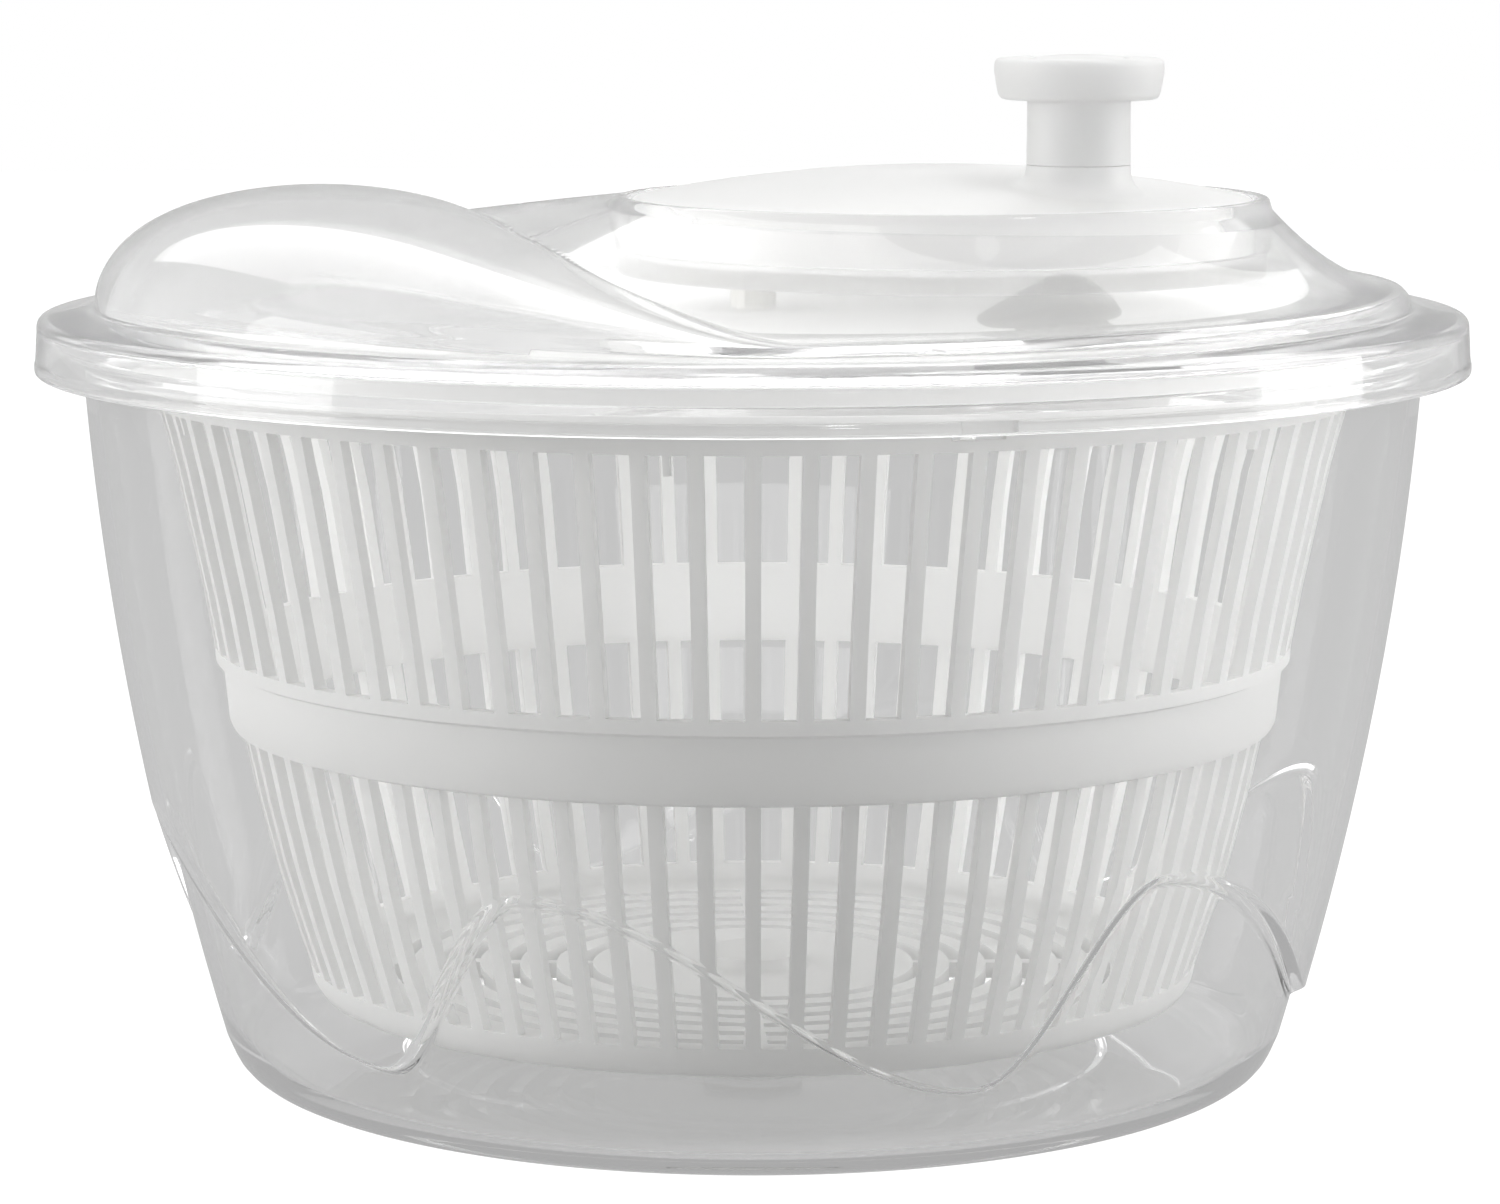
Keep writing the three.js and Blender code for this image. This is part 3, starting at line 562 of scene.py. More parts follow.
class SPINNER_OT_basket(bpy.types.Operator):
    """Builds the slatted basket, with its slots, floor and hub"""

    bl_idname = "spinner.basket"
    bl_label = "Basket"

    def side_levels(self, basket):
        """Pairs of outer and inner [radius, height] up to the rim, and where pips, slots and notches end."""
        rim = BASKET_HIGH.z
        lip = BASKET_HIGH.x
        rim_radius = lip - basket.lip
        wall, foot, low = basket.wall, basket.foot_radius, basket.floor_height
        bulge = 0.0008  # of the lower ribs, halfway up
        pairs = [
            ((foot - 0.0038, low), (foot - 0.0058, low + basket.floor_thickness)),
            ((foot - 0.0018, low + 0.0008), (foot - 0.0036, low + 0.0026)),
            ((foot - 0.0006, low + 0.0026), (foot - 0.0024, low + 0.0036)),
        ]

        def upright(radius, height):
            pairs.append(((radius, height), (radius - wall, height)))

        for t in (0, 0.25, 0.5, 0.75, 1.0):
            height = basket.slot_bottom + (basket.band_bottom - basket.slot_bottom) * t
            upright(foot + basket.lower_flare * t + bulge * math.sin(math.pi * t), height)
        lower = foot + basket.lower_flare
        step = lower + basket.band_step
        band = rim_radius - (rim - basket.band_top) * basket.lean
        ledge = basket.band_top - 0.0023
        pairs += [
            ((step - 0.0005, basket.band_bottom + 0.0006), (lower - wall, basket.band_bottom + 0.0006)),
            ((step, basket.band_bottom + 0.0016), (lower - wall + 0.0003, basket.band_bottom + 0.0016)),
            ((band - 0.0011, ledge - 0.0006), (band - wall - 0.0008, ledge - 0.0006)),
            ((band + 0.0002, ledge), (band - wall - 0.0006, ledge)),
            ((band + 0.0003, basket.band_top), (band - wall, basket.band_top)),
        ]
        slot_top = rim - basket.ring_depth
        pip = slot_top - 0.0034
        notch = rim - 0.0042
        for height in (0.087, 0.098, 0.109, pip, slot_top, notch, rim - 0.0035):
            upright(rim_radius - (rim - height) * basket.lean, height)
        pairs += [
            ((lip - 0.0004, rim - 0.0026), (rim_radius - wall - 0.0003, rim - 0.0026)),
            ((lip, rim - 0.0021), (rim_radius - wall - 0.0002, rim - 0.0021)),
            ((lip, rim - 0.0005), (rim_radius - wall, rim - 0.0005)),
            ((lip - 0.0005, rim), (rim_radius - wall + 0.0005, rim)),
        ]
        return pairs, pip, slot_top, notch

    def floor_levels(self, basket):
        """Pairs of [radius, height] across the floor, from the hub to its edge."""
        low, high = basket.floor_height, basket.floor_height + basket.floor_thickness
        hub, hub_low = basket.hub_radius, BASKET_LOW.z
        bearing = BEARING_HIGH.z + REST_GAP
        pairs = [
            ((0.0, bearing), (0.0, bearing + 0.0017)),
            ((0.0054, bearing), (0.0070, bearing + 0.0017)),
            ((0.0055, bearing - 0.0003), (0.0084, bearing + 0.0009)),
            ((0.0055, hub_low + 0.0003), (0.0088, high + 0.0012)),
            ((0.0058, hub_low), (0.0092, high + 0.0006)),
            ((hub - 0.0003, hub_low), (0.0098, high + 0.0002)),
            ((hub, hub_low + 0.0003), (0.0106, high)),
            ((hub, low), (0.0116, high)),
            ((0.016, low), (0.016, high)),
            ((0.0225, low), (0.0225, high)),
        ]
        radii = [0.0245]
        for ring in range(basket.slot_rings):
            middle = basket.slot_first + ring * basket.slot_pitch
            radii += [middle - basket.slot_width / 2, middle + basket.slot_width / 2]
        return pairs + [((radius, low), (radius, high + basket.floor_step)) for radius in radii]

    def columns(self, basket, radius):
        """Angles of one row's columns: each rib keeps its width, whatever the radius."""
        pitch = 2 * np.pi / basket.ribs
        edge = min(math.asin(min(basket.rib_width / 2 / max(radius, 0.02), 0.9)), pitch * 0.3)
        inner = np.array([0.29, 0.44, 0.56, 0.71]) * pitch
        one = np.concatenate([[0.0, edge], inner, [pitch - edge]])
        return (np.arange(basket.ribs)[:, None] * pitch + one[None, :]).ravel()

    def open_cells(self, basket, outer, side_start, heights):
        """True for each cell of the grid that a slot, a notch or a floor slot leaves open."""
        pip, slot_top, notch = heights
        per_rib, spokes, lugs = 7, 4, 3
        count = basket.ribs * per_rib
        column = np.arange(count)
        cell, rib = column % per_rib, column // per_rib
        gap = (cell >= 1) & (cell <= 5)
        has_pip = (cell == 3) & ((rib + 2) % 12 == 0)
        along = np.abs((column * spokes / count + 0.5) % 1 - 0.5) > 0.02
        from_lug = (column - 4 * per_rib) % (count // lugs)
        is_open = np.zeros((len(outer) - 1, count), bool)
        for i in range(len(outer) - 1):
            (r0, z0), (r1, z1) = outer[i], outer[i + 1]
            middle = (z0 + z1) / 2
            if i < side_start:
                ring = (r0 + r1) / 2 - basket.slot_first + basket.slot_pitch / 2
                centred = ring > 0 and abs(ring % basket.slot_pitch - basket.slot_pitch / 2) < 1e-5
                if centred and r1 - r0 < basket.slot_width * 1.01:
                    is_open[i] = along
            elif basket.slot_bottom < middle < basket.band_bottom or basket.band_top < middle < pip:
                is_open[i] = gap
            elif pip < middle < slot_top:
                is_open[i] = gap & ~has_pip
            elif middle > notch:
                is_open[i] = (from_lug < 3) | (from_lug >= count // lugs - 4)
        return is_open

    def execute(self, context):
        basket = settings("basket")
        floor = self.floor_levels(basket)
        side, *heights = self.side_levels(basket)
        outer, inner = zip(*(floor + side))
        is_open = self.open_cells(basket, outer, len(floor) - 1, heights)

        def place(levels):
            grid = []
            for radius, height in levels:
                angle = self.columns(basket, radius)
                x, y = radius * np.sin(angle), -radius * np.cos(angle)
                grid.append(np.stack([x, y, np.full(angle.shape, height)], 1))
            return np.array(grid)

        vertices, faces = lattice(place(outer), place(inner), is_open)
        piece = new_object("basket_shell", vertices, faces, sharp=40)
        bevel = piece.modifiers.new("soft_edges", "BEVEL")
        bevel.width = 0.00035
        bevel.segments = 2
        bevel.limit_method = "ANGLE"
        bevel.angle_limit = math.radians(50)
        bevel.use_clamp_overlap = True
        finish_piece(piece, "basket_white", "basket", "white_plastic", "basket")
        return {"FINISHED"}


def lattice(outer, inner, is_open):
    """A wall between two grids of points whose open cells are windows, and the faces that line them."""
    levels, steps = outer.shape[:2]
    vertices = np.concatenate([outer.reshape(-1, 3), inner.reshape(-1, 3)])
    offset = levels * steps

    def out(i, j):
        return i * steps + j % steps

    def back(i, j):
        return offset + i * steps + j % steps

    faces = []
    for i in range(levels - 1):
        for j in range(steps):
            if is_open[i, j]:
                if not is_open[i, j - 1]:
                    faces.append((out(i, j), out(i + 1, j), back(i + 1, j), back(i, j)))
                if not is_open[i, (j + 1) % steps]:
                    faces.append((out(i, j + 1), back(i, j + 1), back(i + 1, j + 1), out(i + 1, j + 1)))
                if i == 0 or not is_open[i - 1, j]:
                    faces.append((out(i, j), back(i, j), back(i, j + 1), out(i, j + 1)))
                if i + 1 < levels - 1 and not is_open[i + 1, j]:
                    faces.append((out(i + 1, j), out(i + 1, j + 1), back(i + 1, j + 1), back(i + 1, j)))
            else:
                faces.append((out(i, j), out(i, j + 1), out(i + 1, j + 1), out(i + 1, j)))
                faces.append((back(i, j), back(i + 1, j), back(i + 1, j + 1), back(i, j + 1)))
    top = levels - 1
    for j in range(steps):
        if not is_open[top - 1, j]:
            faces.append((out(top, j), out(top, j + 1), back(top, j + 1), back(top, j)))
    return vertices, faces


# ---------------------------------------------------------------- lid


# the crease's line in plan, in shares of the dome's radius
CREASE = (
    (0.21, -0.965), (0.087, -0.965), (-0.072, -0.774), (-0.217, -0.533), (-0.323, -0.236),
    (-0.401, 0.087), (-0.506, 0.393), (-0.54, 0.655), (-0.454, 0.878),
)  # fmt: skip


def route(points, steps):
    """A smooth curve through points."""
    points = np.array(points, float)
    ends = np.concatenate([[2 * points[0] - points[1]], points, [2 * points[-1] - points[-2]]])
    result = []
    for i in range(len(points) - 1):
        a, b, c, d = ends[i : i + 4]
        slope, bend, twist = c - a, 2 * a - 5 * b + 4 * c - d, 3 * b - a - 3 * c + d
        for t in np.linspace(0, 1, steps, endpoint=False):
            result.append(0.5 * (2 * b + slope * t + bend * t**2 + twist * t**3))
    result.append(points[-1])
    return np.array(result)


class LidShape:
    """Heights of the lid's outer face: a turret round the crank, a lobe at the left and a crease between."""

    dome_step = 0.0015  # dome's foot over the flange
    turret_foot_shift, turret_foot_share = 0.035, 0.951  # of the turret's foot, in shares of the dome
    turret_rim_width = 0.001
    turret_flare, turret_full = 1.8, 0.5  # powers of the flare, plain and at its fullest
    full_from, full_to = (95, 140), (158, 192)  # degrees over which the fullness comes and goes
    deck_lean = 0.0012  # rise of the deck towards the right
    lobe_tail, lobe_climb = 8, 86  # degrees of the lobe's front tail and of its climb from there
    lobe_climb_power = 0.8
    lobe_back, lobe_back_loss = (-168, -125), 0.6  # degrees of the drop at the back, and its share
    lobe_edge, lobe_bulge = 7.5, 0.54  # powers of the lobe's profile
    shoulder = 0.0016  # width of the dome's rounded foot
    fold = 0.0008  # half width of the crease
    crease_spread = 0.0135  # how soon the lobe swells beside it

    def __init__(self, lid):
        self.lid = lid
        self.dome = LID_HIGH.x - lid.flange
        self.flange_top = BOWL_HIGH.z + REST_GAP + lid.skin
        self.foot = self.flange_top + self.dome_step
        self.deck = self.foot + lid.deck_rise
        self.rim = self.deck + lid.turret_rise
        self.opening = DISC_RADIUS + lid.opening_fit
        self.crease = route(CREASE, 24) * self.dome
        self.crease_height = self.turret(self.crease[:, 0], self.crease[:, 1])

    def turret(self, x, y):
        """A flared funnel from the opening down to the deck, fuller at the back left."""
        foot_x = self.dome * self.turret_foot_shift
        foot_radius = self.dome * self.turret_foot_share
        rim_radius = self.opening + self.turret_rim_width
        dx, dr = CRANK_X - foot_x, foot_radius - rim_radius
        a = dr * dr - dx * dx
        b = 2 * dx * (x - foot_x) - 2 * foot_radius * dr
        c = foot_radius**2 - (x - foot_x) ** 2 - y * y
        part = np.clip((-b - np.sqrt(np.maximum(b * b - 4 * a * c, 0))) / (2 * a), 0, 1)
        turn = np.degrees(np.arctan2(y, x - CRANK_X)) % 360
        fullness = smooth_step(*self.full_from, turn) - smooth_step(*self.full_to, turn)
        power = self.turret_flare - (self.turret_flare - self.turret_full) * fullness
        base = self.deck + self.deck_lean * np.maximum(x, 0) / self.dome
        return base + (self.rim - base) * part**power

    def lobe(self, x, y):
        """A dome that is low at its front tail and full at the left."""
        radius = np.minimum(np.hypot(x, y) / self.dome, 1)
        angle = np.degrees(np.arctan2(x, -y))
        climb = np.clip((self.lobe_tail - angle) / self.lobe_climb, 0, 1)
        front = np.sin(np.pi / 2 * climb) ** self.lobe_climb_power
        back = 1 - self.lobe_back_loss * (1 - smooth_step(*self.lobe_back, angle))
        profile = (1 - radius**self.lobe_edge) ** self.lobe_bulge
        return self.foot + self.lid.lobe_rise * front * back * profile

    def from_crease(self, x, y):
        """Distance in plan to the crease, positive on the lobe's side, and the crease's height there."""
        start, end = self.crease[:-1], self.crease[1:]
        along = end - start
        size = (along**2).sum(1)
        to_x, to_y = x[:, None] - start[None, :, 0], y[:, None] - start[None, :, 1]
        part = np.clip((to_x * along[:, 0] + to_y * along[:, 1]) / size, 0, 1)
        away = np.hypot(to_x - part * along[:, 0], to_y - part * along[:, 1])
        row, nearest = np.arange(len(x)), away.argmin(1)
        part = part[row, nearest]
        height = self.crease_height[nearest] * (1 - part) + self.crease_height[nearest + 1] * part
        side = along[nearest, 0] * to_y[row, nearest] - along[nearest, 1] * to_x[row, nearest]
        return np.where(side > 0, 1, -1) * away[row, nearest], height

    def height(self, points):
        """Height at each [x, y]."""
        x, y = points[:, 0], points[:, 1]
        distance, crease_height = self.from_crease(x, y)
        shoulder = np.sqrt(np.clip((self.dome - np.hypot(x, y)) / self.shoulder, 0, 1))
        turret = self.foot + (self.turret(x, y) - self.foot) * shoulder
        start = self.foot + (crease_height - self.foot) * shoulder
        fold = self.fold
        spread = fold * (np.logaddexp(0, distance / fold) - np.log(2) * np.exp(-np.abs(distance) / fold))
        base = turret + (start - turret) * smooth_step(-fold, fold, distance)
        swell = (1 - np.exp(-spread / self.crease_spread)) * (distance > -4 * fold)
        return base + (self.lobe(x, y) - base) * swell


class SPINNER_OT_lid(bpy.types.Operator):
    """Builds the clear lid"""

    bl_idname = "spinner.lid"
    bl_label = "Lid"

    def execute(self, context):
        lid = settings("lid")
        shape = LidShape(lid)
        collar = shape.opening + lid.collar_wall
        seat = BOWL_HIGH.z + REST_GAP
        steps = 2 * AROUND
        spread = np.concatenate([np.linspace(0, 0.9, 90, endpoint=False), np.linspace(0.9, 1, 30)])

        def dome_rows(start_radius, end_radius, grow, lower):
            rows = []
            for t in spread:
                radius = start_radius + (end_radius - start_radius) * t
                ring = circle(radius, 0.0, (CRANK_X * (1 - t), 0.0), steps)
                ring[:, 2] = shape.height(ring[:, :2] * grow) - lower
                rows.append(ring)
            return rows

        outside = dome_rows(collar, shape.dome, 1.0, 0.0)
        inner_dome = shape.dome - lid.skin
        inside = dome_rows(collar, inner_dome, shape.dome / inner_dome, lid.skin)
        bottom, band = LID_LOW.z, LID_HIGH.x
        flange = rounded(
            [
                (shape.dome, shape.foot),
                (shape.dome + 0.0012, shape.foot - 0.0004, 0.0008),
                (band - 0.0031, shape.flange_top, 0.0008),
                (band - 0.0006, shape.flange_top - 0.0006, 0.0026),
                (band - 0.0002, bottom + 0.0022, 0.0004),
                (band, bottom + 0.0016, 0.0004),
                (band, bottom, 0.0007),
                (band - lid.skin, bottom, 0.0007),
                (band - lid.skin, seat, 0.0012),
                (inner_dome + 0.0012, seat, 0.0006),
                (inner_dome, shape.foot - lid.skin),
            ],
            5,
        )
        low = shape.rim + DISC_PROUD - lid.collar_depth
        high = shape.rim + 0.0004
        ring = rounded(
            [
                (collar, low + 0.004),
                (collar, low, 0.0005),
                (shape.opening, low, 0.0005),
                (shape.opening, high, 0.0005),
                (collar - 0.0006, high, 0.0007),
                (collar, high - 0.0008),
            ]
        )
        rows = outside[1:] + circles(flange[1:-1], (0, 0), steps)
        rows += inside[:0:-1] + circles(ring[1:-1], (CRANK_X, 0.0), steps)
        piece = skinned("lid_shell", rows, closed=True, sharp=60)
        finish_piece(piece, "clear_lid", "lid", "clear_plastic", "lid")
        return {"FINISHED"}


# ---------------------------------------------------------------- crank


class SPINNER_OT_crank(bpy.types.Operator):
    """Builds the crank disc with its skirt, hub and knob post"""

    bl_idname = "spinner.crank"
    bl_label = "Crank disc"

    def execute(self, context):
        crank = settings("crank")
        radius = DISC_RADIUS
        edge = LidShape(settings("lid")).rim + DISC_PROUD
        centre = np.array([CRANK_X, 0.0])
        knob = np.array([KNOB_X, KNOB_Y])

        def dome(points):
            away = np.hypot(points[:, 0] - CRANK_X, points[:, 1])
            return edge + crank.crown * (1 - (away / radius) ** 2)

        boss_top = float(dome(knob[None, :])[0]) + crank.boss_height
        boss_edge = boss_top - 0.0006
        post = rounded(
            [
                (0, DISC_HIGH.z),
                (POST_RADIUS, DISC_HIGH.z, 0.0004),
                (POST_RADIUS, boss_top, 0.0004),
                (crank.stem_radius, boss_top, 0.0001),
                (crank.stem_radius + 0.00005, boss_edge),
            ]
        )
        rows = circles(post, tuple(knob))
        for t in np.linspace(0.08, 1, 12):
            ring = circle(crank.stem_radius + crank.boss_flare * t, 0.0, tuple(knob))
            ground = dome(ring)
            ring[:, 2] = ground + (boss_edge - ground) * (1 - math.sqrt(1 - (1 - t) ** 2))
            rows.append(ring)
        foot = crank.stem_radius + crank.boss_flare
        top_edge = radius - 0.0012
        for t in np.linspace(0, 1, 40)[1:]:
            ring = circle(foot + (top_edge - foot) * t, 0.0, tuple(knob + (centre - knob) * t))
            ring[:, 2] = dome(ring)
            rows.append(ring)
        skirt = edge - crank.skirt_depth
        wall = radius - crank.skirt_wall
        hub, shaft, screw_hole = 0.008, 0.004, 0.0019
        shaft_end = CARRIER_LOW.z - 0.0008
        hub_end = CARRIER_LOW.z + 0.0041
        hole_end = shaft_end + 0.012
        lower = rounded(
            [
                (top_edge, edge + 0.0002),
                (radius - 0.0001, edge - 0.0002, 0.0008),
                (radius, skirt, 0.0006),
                (wall, skirt, 0.0006),
                (wall, edge - 0.0022, 0.001),
                (hub, edge + 0.0032, 0.002),
                (hub, hub_end, 0.0003),
                (shaft, hub_end, 0.0003),
                (shaft, shaft_end, 0.0003),
                (screw_hole, shaft_end, 0.0002),
                (screw_hole, hole_end),
                (0, hole_end),
            ]
        )
        rows += circles(lower[1:], tuple(centre))
        piece = skinned("crank_dome", rows, sharp=50)
        finish_piece(piece, "crank_white", "crank", "white_plastic", "crank_disc")
        return {"FINISHED"}


class SPINNER_OT_knob(bpy.types.Operator):
    """Builds the turning knob and its cap"""

    bl_idname = "spinner.knob"
    bl_label = "Knob"

    def execute(self, context):
        crank = settings("crank")
        bottom, top = KNOB_LOW.z - 0.0002, KNOB_HIGH.z
        head = top - crank.head_height
        radius = (KNOB_HIGH.x - KNOB_LOW.x) / 2
        pocket, pocket_bottom = 0.0072, top - 0.0053
        ledge = top - 0.0018
        place = (KNOB_X, KNOB_Y)
        outline = rounded(
            [
                (SOCKET_RADIUS, bottom),
                (crank.stem_radius, bottom, 0.0001),
                (crank.stem_radius - 0.0001, head, 0.0007),
                (radius - 0.0011, head, 0.0013),
                (radius - 0.0002, top - 0.0022, 0.001),
                (radius - 0.0004, top, 0.0021),
                (0.0084, top, 0.0004),
                (0.0083, ledge, 0.0003),
                (pocket, ledge, 0.0003),
                (pocket, pocket_bottom, 0.0003),
                (SOCKET_RADIUS, pocket_bottom, 0.0003),
                (SOCKET_RADIUS, bottom),
            ],
            6,
        )
        piece = skinned("knob_body", circles(outline[:-1], place), closed=True, sharp=50)
        finish_piece(piece, "crank_white", "knob", "white_plastic", "knob")
        button_radius, button_bottom, button_top = 0.008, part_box("knob_cap")[0].z, top + 0.0005
        cap = rounded(
            [
                (0, button_bottom),
                (button_radius, button_bottom, 0.0003),
                (button_radius, top - 0.0001, 0.0008),
                (button_radius / 2, button_top, 0.003),
                (0, button_top),
            ],
            6,
        )
        button = skinned("knob_button", circles(cap, place), sharp=50)
        finish_piece(button, "crank_white", "knob", "white_plastic", "knob_cap")
        return {"FINISHED"}


# ---------------------------------------------------------------- drive and small parts


class SPINNER_OT_drive(bpy.types.Operator):
    """Builds the drive plate and its lugs"""

    bl_idname = "spinner.drive"
    bl_label = "Drive plate"

    def execute(self, context):
        rim = PLATE_HIGH.x
        rim_bottom = BASKET_HIGH.z + REST_GAP
        rim_top = rim_bottom + 0.004
        web = rim_top - 0.0018
        hub_top = PLATE_HIGH.z
        hub_bottom = hub_top - 0.0035
        bore, hub, bead = 0.0031, 0.012, rim - 0.008
        outline = rounded(
            [
                (bore, hub_bottom),
                (hub, hub_bottom, 0.0005),
                (hub, web, 0.001),
                (0.060, web, 0.0004),
                (bead, web, 0.0008),
                (bead, rim_bottom, 0.0004),
                (rim, rim_bottom, 0.0005),
                (rim, rim_top, 0.0008),
                (hub + 0.0005, rim_top, 0.0006),
                (hub - 0.001, hub_top, 0.0004),
                (bore, hub_top),
            ]
        )
        vertices, faces = skin_rows(circles(outline), closed=True)
        lugs, first_lug = 3, math.radians(20)
        half_width, half_depth = 0.0045, 0.002
        for lug in range(lugs):
            angle = first_lug + 2 * math.pi * lug / lugs
            across = np.array([math.cos(angle), math.sin(angle)])
            out = np.array([math.sin(angle), -math.cos(angle)])
            start = len(vertices)
            corners = []
            for height in (PLATE_LOW.z, rim_bottom + 0.001):
                for u, v in ((-1, -1), (1, -1), (1, 1), (-1, 1)):
                    spot = out * (rim - 0.0037 + v * half_depth) + across * u * half_width
                    corners.append((spot[0], spot[1], height))
            vertices = np.concatenate([vertices, corners])
            faces += [(start, start + 3, start + 2, start + 1), (start + 4, start + 5, start + 6, start + 7)]
            for i in range(4):
                after = (i + 1) % 4
                faces.append((start + i, start + after, start + 4 + after, start + 4 + i))
        piece = new_object("drive_disc", vertices, faces, sharp=40)
        finish_piece(piece, "plate_white", "drive", "white_plastic", "drive_plate")
        return {"FINISHED"}


class SPINNER_OT_small_parts(bpy.types.Operator):
    """Gives the gears, bushes, washers, screws and carrier their finishes"""

    bl_idname = "spinner.small_parts"
    bl_label = "Small parts"

    def execute(self, context):
        held = ("crank", "drive", "knob")
        finishes = {
            "clear_carrier": ["gear_carrier"],
            "gear_nylon": [
                "ring_gear", "pinion", "thrust_washer", "crank_bush", "pinion_bush", "basket_bearing",
            ],
            "plated_steel": [piece + part for piece in held for part in ("_screw", "_washer")],
        }  # fmt: skip
        for material, names in finishes.items():
            for name in names:
                set_material(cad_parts[name], material)
        return {"FINISHED"}


class SPINNER_OT_finishes(bpy.types.Operator):
    """Makes the materials"""

    bl_idname = "spinner.finishes"
    bl_label = "Finishes"

    def execute(self, context):
        finish = settings("finish")
        clear_plastic("clear_bowl", finish.clear, haze=0.012)
        clear_plastic("clear_lid", finish.lid, haze=0.04, milk=0.1)
        clear_plastic("clear_carrier", finish.lid, haze=0.2, milk=0.3)
        moulded_plastic("basket_white", finish.white, 0.42, grain=0.00002, thin=0.5)
        moulded_plastic("plate_white", finish.white, 0.42, grain=0.00002, thin=0.45)
        moulded_plastic("crank_white", finish.white, 0.4, thin=0.3)
        moulded_plastic("gear_nylon", finish.nylon, 0.5)
        turned_steel("plated_steel", finish.steel)
        return {"FINISHED"}


# ---------------------------------------------------------------- stage


def floor_material(colour):
    """Pale floor that is white to the eye and a soft grey behind and beneath the plastic."""
    own_light, seen_light, seen_share = 0.4, 1.3, 0.75
    sheet = new_sheet("floor_pale")
    light = sheet.node("ShaderNodeLightPath")
    matt = sheet.node("ShaderNodeBsdfDiffuse", None, {"Color": shade(colour)})
    table = sheet.node("ShaderNodeAddShader", None, {0: matt.outputs[0], 1: sheet.glow(own_light).outputs[0]})
    seen = Term(sheet, light.outputs["Is Camera Ray"]) * seen_share
    sheet.surface(sheet.mix(seen, table, sheet.glow(seen_light)))


def make_floor(stage):
    """A wide round floor just under the bowl's foot."""
    low = -0.0002
    vertices, faces = skin_rows(circles([(0, low), (0.6, low), (3.0, low)], steps=64))
    floor = new_object("floor", vertices, faces)
    floor_material(stage.floor)
    set_material(floor, "floor_pale")


def make_camera(stage):
    """The camera, in front and a little above."""
    data = bpy.data.cameras.new("camera")
    data.lens = stage.lens
    data.sensor_width = 36
    data.sensor_fit = "HORIZONTAL"
    camera = bpy.data.objects.new("camera", data)
    camera.location = (-stage.aside, -stage.distance, stage.height)
    camera.rotation_euler = Euler((math.pi / 2 - stage.pitch, 0, 0))
    bpy.context.scene.collection.objects.link(camera)
    bpy.context.scene.camera = camera


def make_room(stage):
    """Surroundings that are white to the eye, and for the plastic darkest in front."""
    world = bpy.data.worlds.new("studio")
    bpy.context.scene.world = world
    world.use_nodes = True
    sheet = Sheet(world.node_tree)
    way = sheet.node("ShaderNodeTexCoord")
    parts = sheet.node("ShaderNodeSeparateXYZ", None, {"Vector": way.outputs["Generated"]})

    def climb(low, high):
        options = {"interpolation_type": "SMOOTHSTEP"}
        inputs = {"Value": parts.outputs["Y"], "From Min": low, "From Max": high}
        return sheet.node("ShaderNodeMapRange", options, inputs).outputs["Result"]

    sides = sheet.blend(climb(-0.95, -0.1), shade(stage.shade_side), shade(stage.bright_side))
    room = sheet.blend(climb(0.5, 0.95), sides, shade(stage.backdrop))
    light = sheet.node("ShaderNodeLightPath")
    seen = sheet.blend(light.outputs["Is Camera Ray"], room, WHITE)
    back = sheet.node("ShaderNodeBackground", None, {"Color": seen, "Strength": 1.0})
    sheet.node("ShaderNodeOutputWorld", None, {"Surface": back.outputs[0]})


def lamp(name, kind, place, target, power, **options):
    """A light that looks at a point."""
    data = bpy.data.lights.new(name, kind)
    data.energy = power
    for key, value in options.items():
        setattr(data, key, value)
    made = bpy.data.objects.new(name, data)
    made.location = place
    made.rotation_euler = (Vector(target) - Vector(place)).to_track_quat("-Z", "Y").to_euler()
    bpy.context.scene.collection.objects.link(made)


def softbox(name, place, target, size, power):
    """A rectangular light that looks at a point."""
    lamp(name, "AREA", place, target, power, shape="RECTANGLE", size=size[0], size_y=size[1])


def make_lights(stage):
    """A soft sky, boxes round the spinner, a spot on the knob and a faint box inside the basket."""
    middle = (0, 0, 0.07)
    knob = (KNOB_X, KNOB_Y, DISC_LOW.z + 0.02)
    inside = (BASKET_HIGH.z + BASKET_LOW.z) / 2 + 0.03
    beam = {"spot_size": math.radians(8), "spot_blend": 0.8, "shadow_soft_size": 0.1, "use_shadow": False}
    lamp("sky", "SUN", (0, 0, 0), (0.15, -0.1, -1.0), 0.5, angle=math.radians(70))
    softbox("left_box", (-1.15, -0.25, 0.4), middle, (0.6, 0.7), 5.5)
    softbox("right_box", (1.1, 0.05, 0.4), middle, (0.5, 0.7), 5)
    softbox("back_box", (-0.1, 1.2, 1.1), middle, (1.7, 0.9), 6)
    lamp("knob_spot", "SPOT", (0.22, -0.75, 0.42), knob, stage.knob_light, **beam)
    softbox("inside_box", (0, -0.04, inside), (0, BASKET_HIGH.y, inside - 0.06), (0.09, 0.03), 0.022)
    softbox("strip_box", (0.45, -0.4, 1.1), middle, (0.2, 0.45), 2)


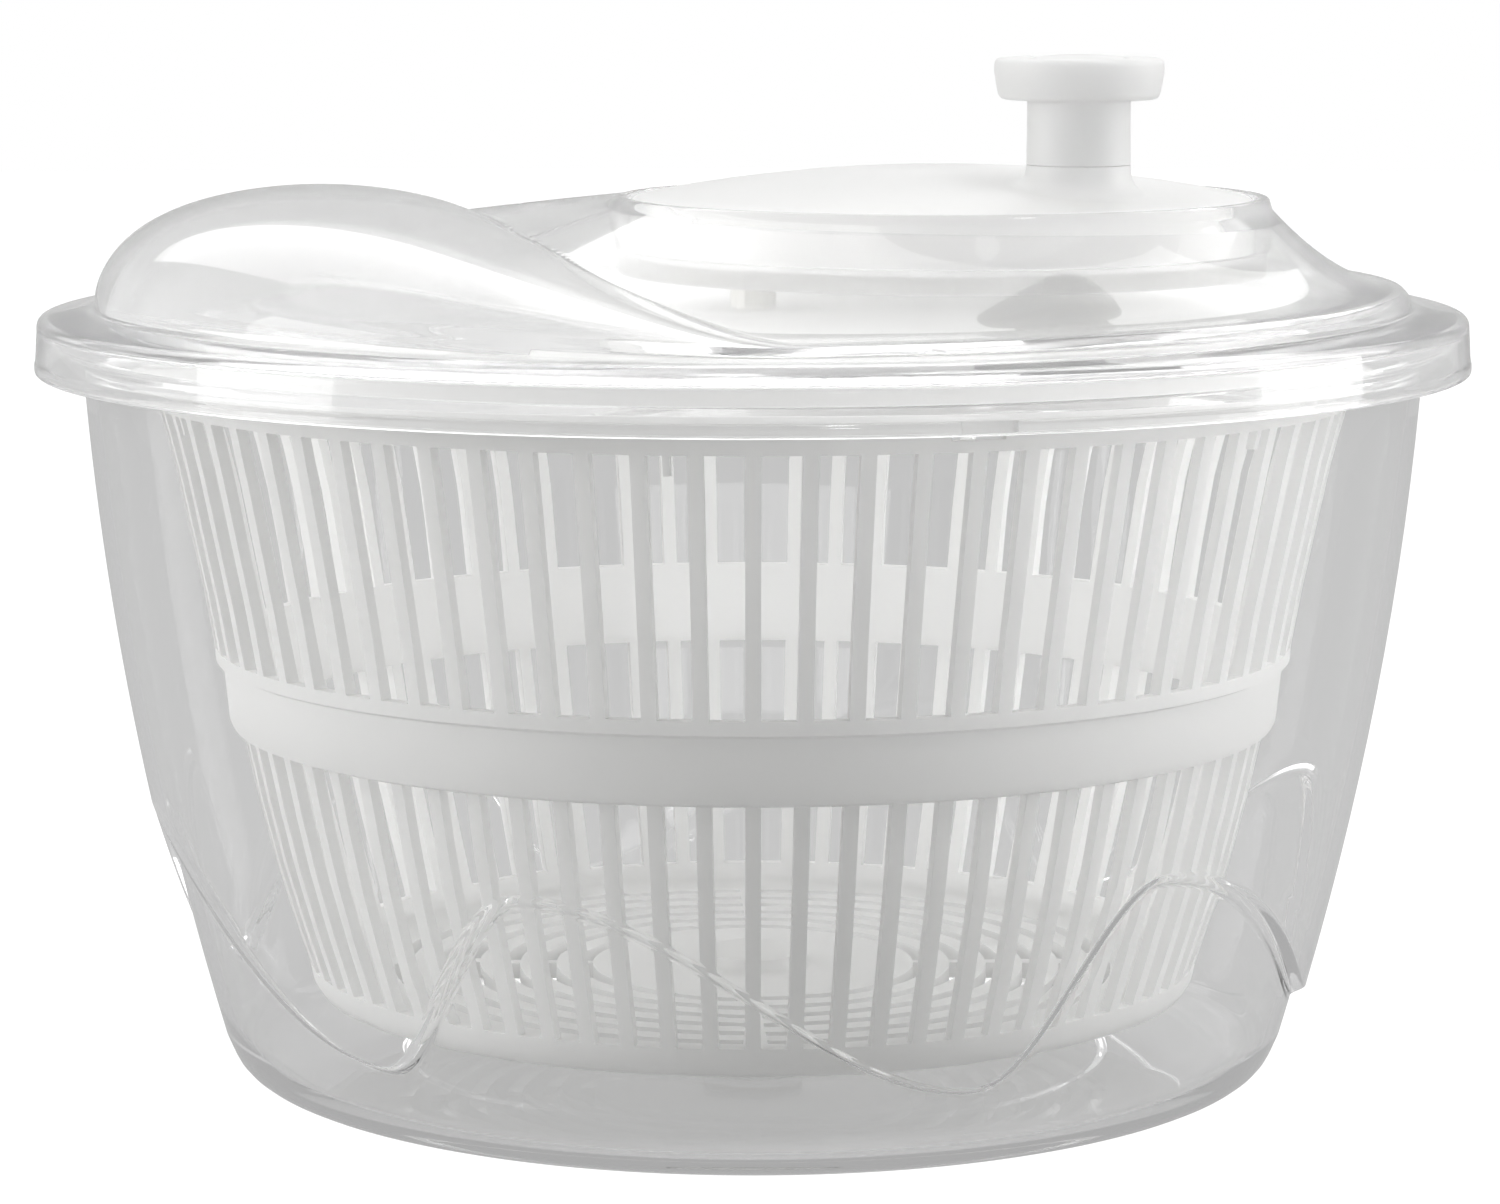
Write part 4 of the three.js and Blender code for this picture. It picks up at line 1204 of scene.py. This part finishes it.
class SPINNER_OT_stage(bpy.types.Operator):
    """Makes the camera, the floor and the light"""

    bl_idname = "spinner.stage"
    bl_label = "Stage"

    def execute(self, context):
        stage = settings("stage")
        make_camera(stage)
        make_floor(stage)
        make_room(stage)
        make_lights(stage)
        context.scene.view_settings.view_transform = "Standard"
        context.scene.view_settings.look = "None"
        return {"FINISHED"}


# ---------------------------------------------------------------- panel and registration

STEPS = (
    SPINNER_OT_stage,
    SPINNER_OT_finishes,
    SPINNER_OT_bowl,
    SPINNER_OT_basket,
    SPINNER_OT_lid,
    SPINNER_OT_crank,
    SPINNER_OT_knob,
    SPINNER_OT_drive,
    SPINNER_OT_small_parts,
)
GROUPS = {
    "bowl": BowlSettings,
    "basket": BasketSettings,
    "lid": LidSettings,
    "crank": CrankSettings,
    "finish": FinishSettings,
    "stage": StageSettings,
}


class SPINNER_PT_panel(bpy.types.Panel):
    """Lists the steps and the sizes"""

    bl_idname = "SPINNER_PT_panel"
    bl_label = "Salad spinner"
    bl_space_type = "VIEW_3D"
    bl_region_type = "UI"
    bl_category = "Spinner"

    def draw(self, context):
        for step in STEPS:
            self.layout.operator(step.bl_idname)
        for name, group in GROUPS.items():
            box = self.layout.box()
            box.label(text=name.title())
            for key in group.__annotations__:
                box.prop(settings(name), key)


def register():
    """Registers the settings, the steps and the panel."""
    for group in GROUPS.values():
        bpy.utils.register_class(group)
    for step in STEPS + (SPINNER_PT_panel,):
        bpy.utils.register_class(step)
    for name, group in GROUPS.items():
        setattr(bpy.types.Scene, "spinner_" + name, PointerProperty(type=group))


def unregister():
    """Takes the panel, the steps and the settings away again."""
    for name in GROUPS:
        delattr(bpy.types.Scene, "spinner_" + name)
    for step in (SPINNER_PT_panel,) + STEPS[::-1]:
        bpy.utils.unregister_class(step)
    for group in GROUPS.values():
        bpy.utils.unregister_class(group)


def main():
    """Builds the whole spinner."""
    register()
    for step in STEPS:
        getattr(bpy.ops.spinner, step.bl_idname.split(".")[1])()


if __name__ == "__main__":
    main()
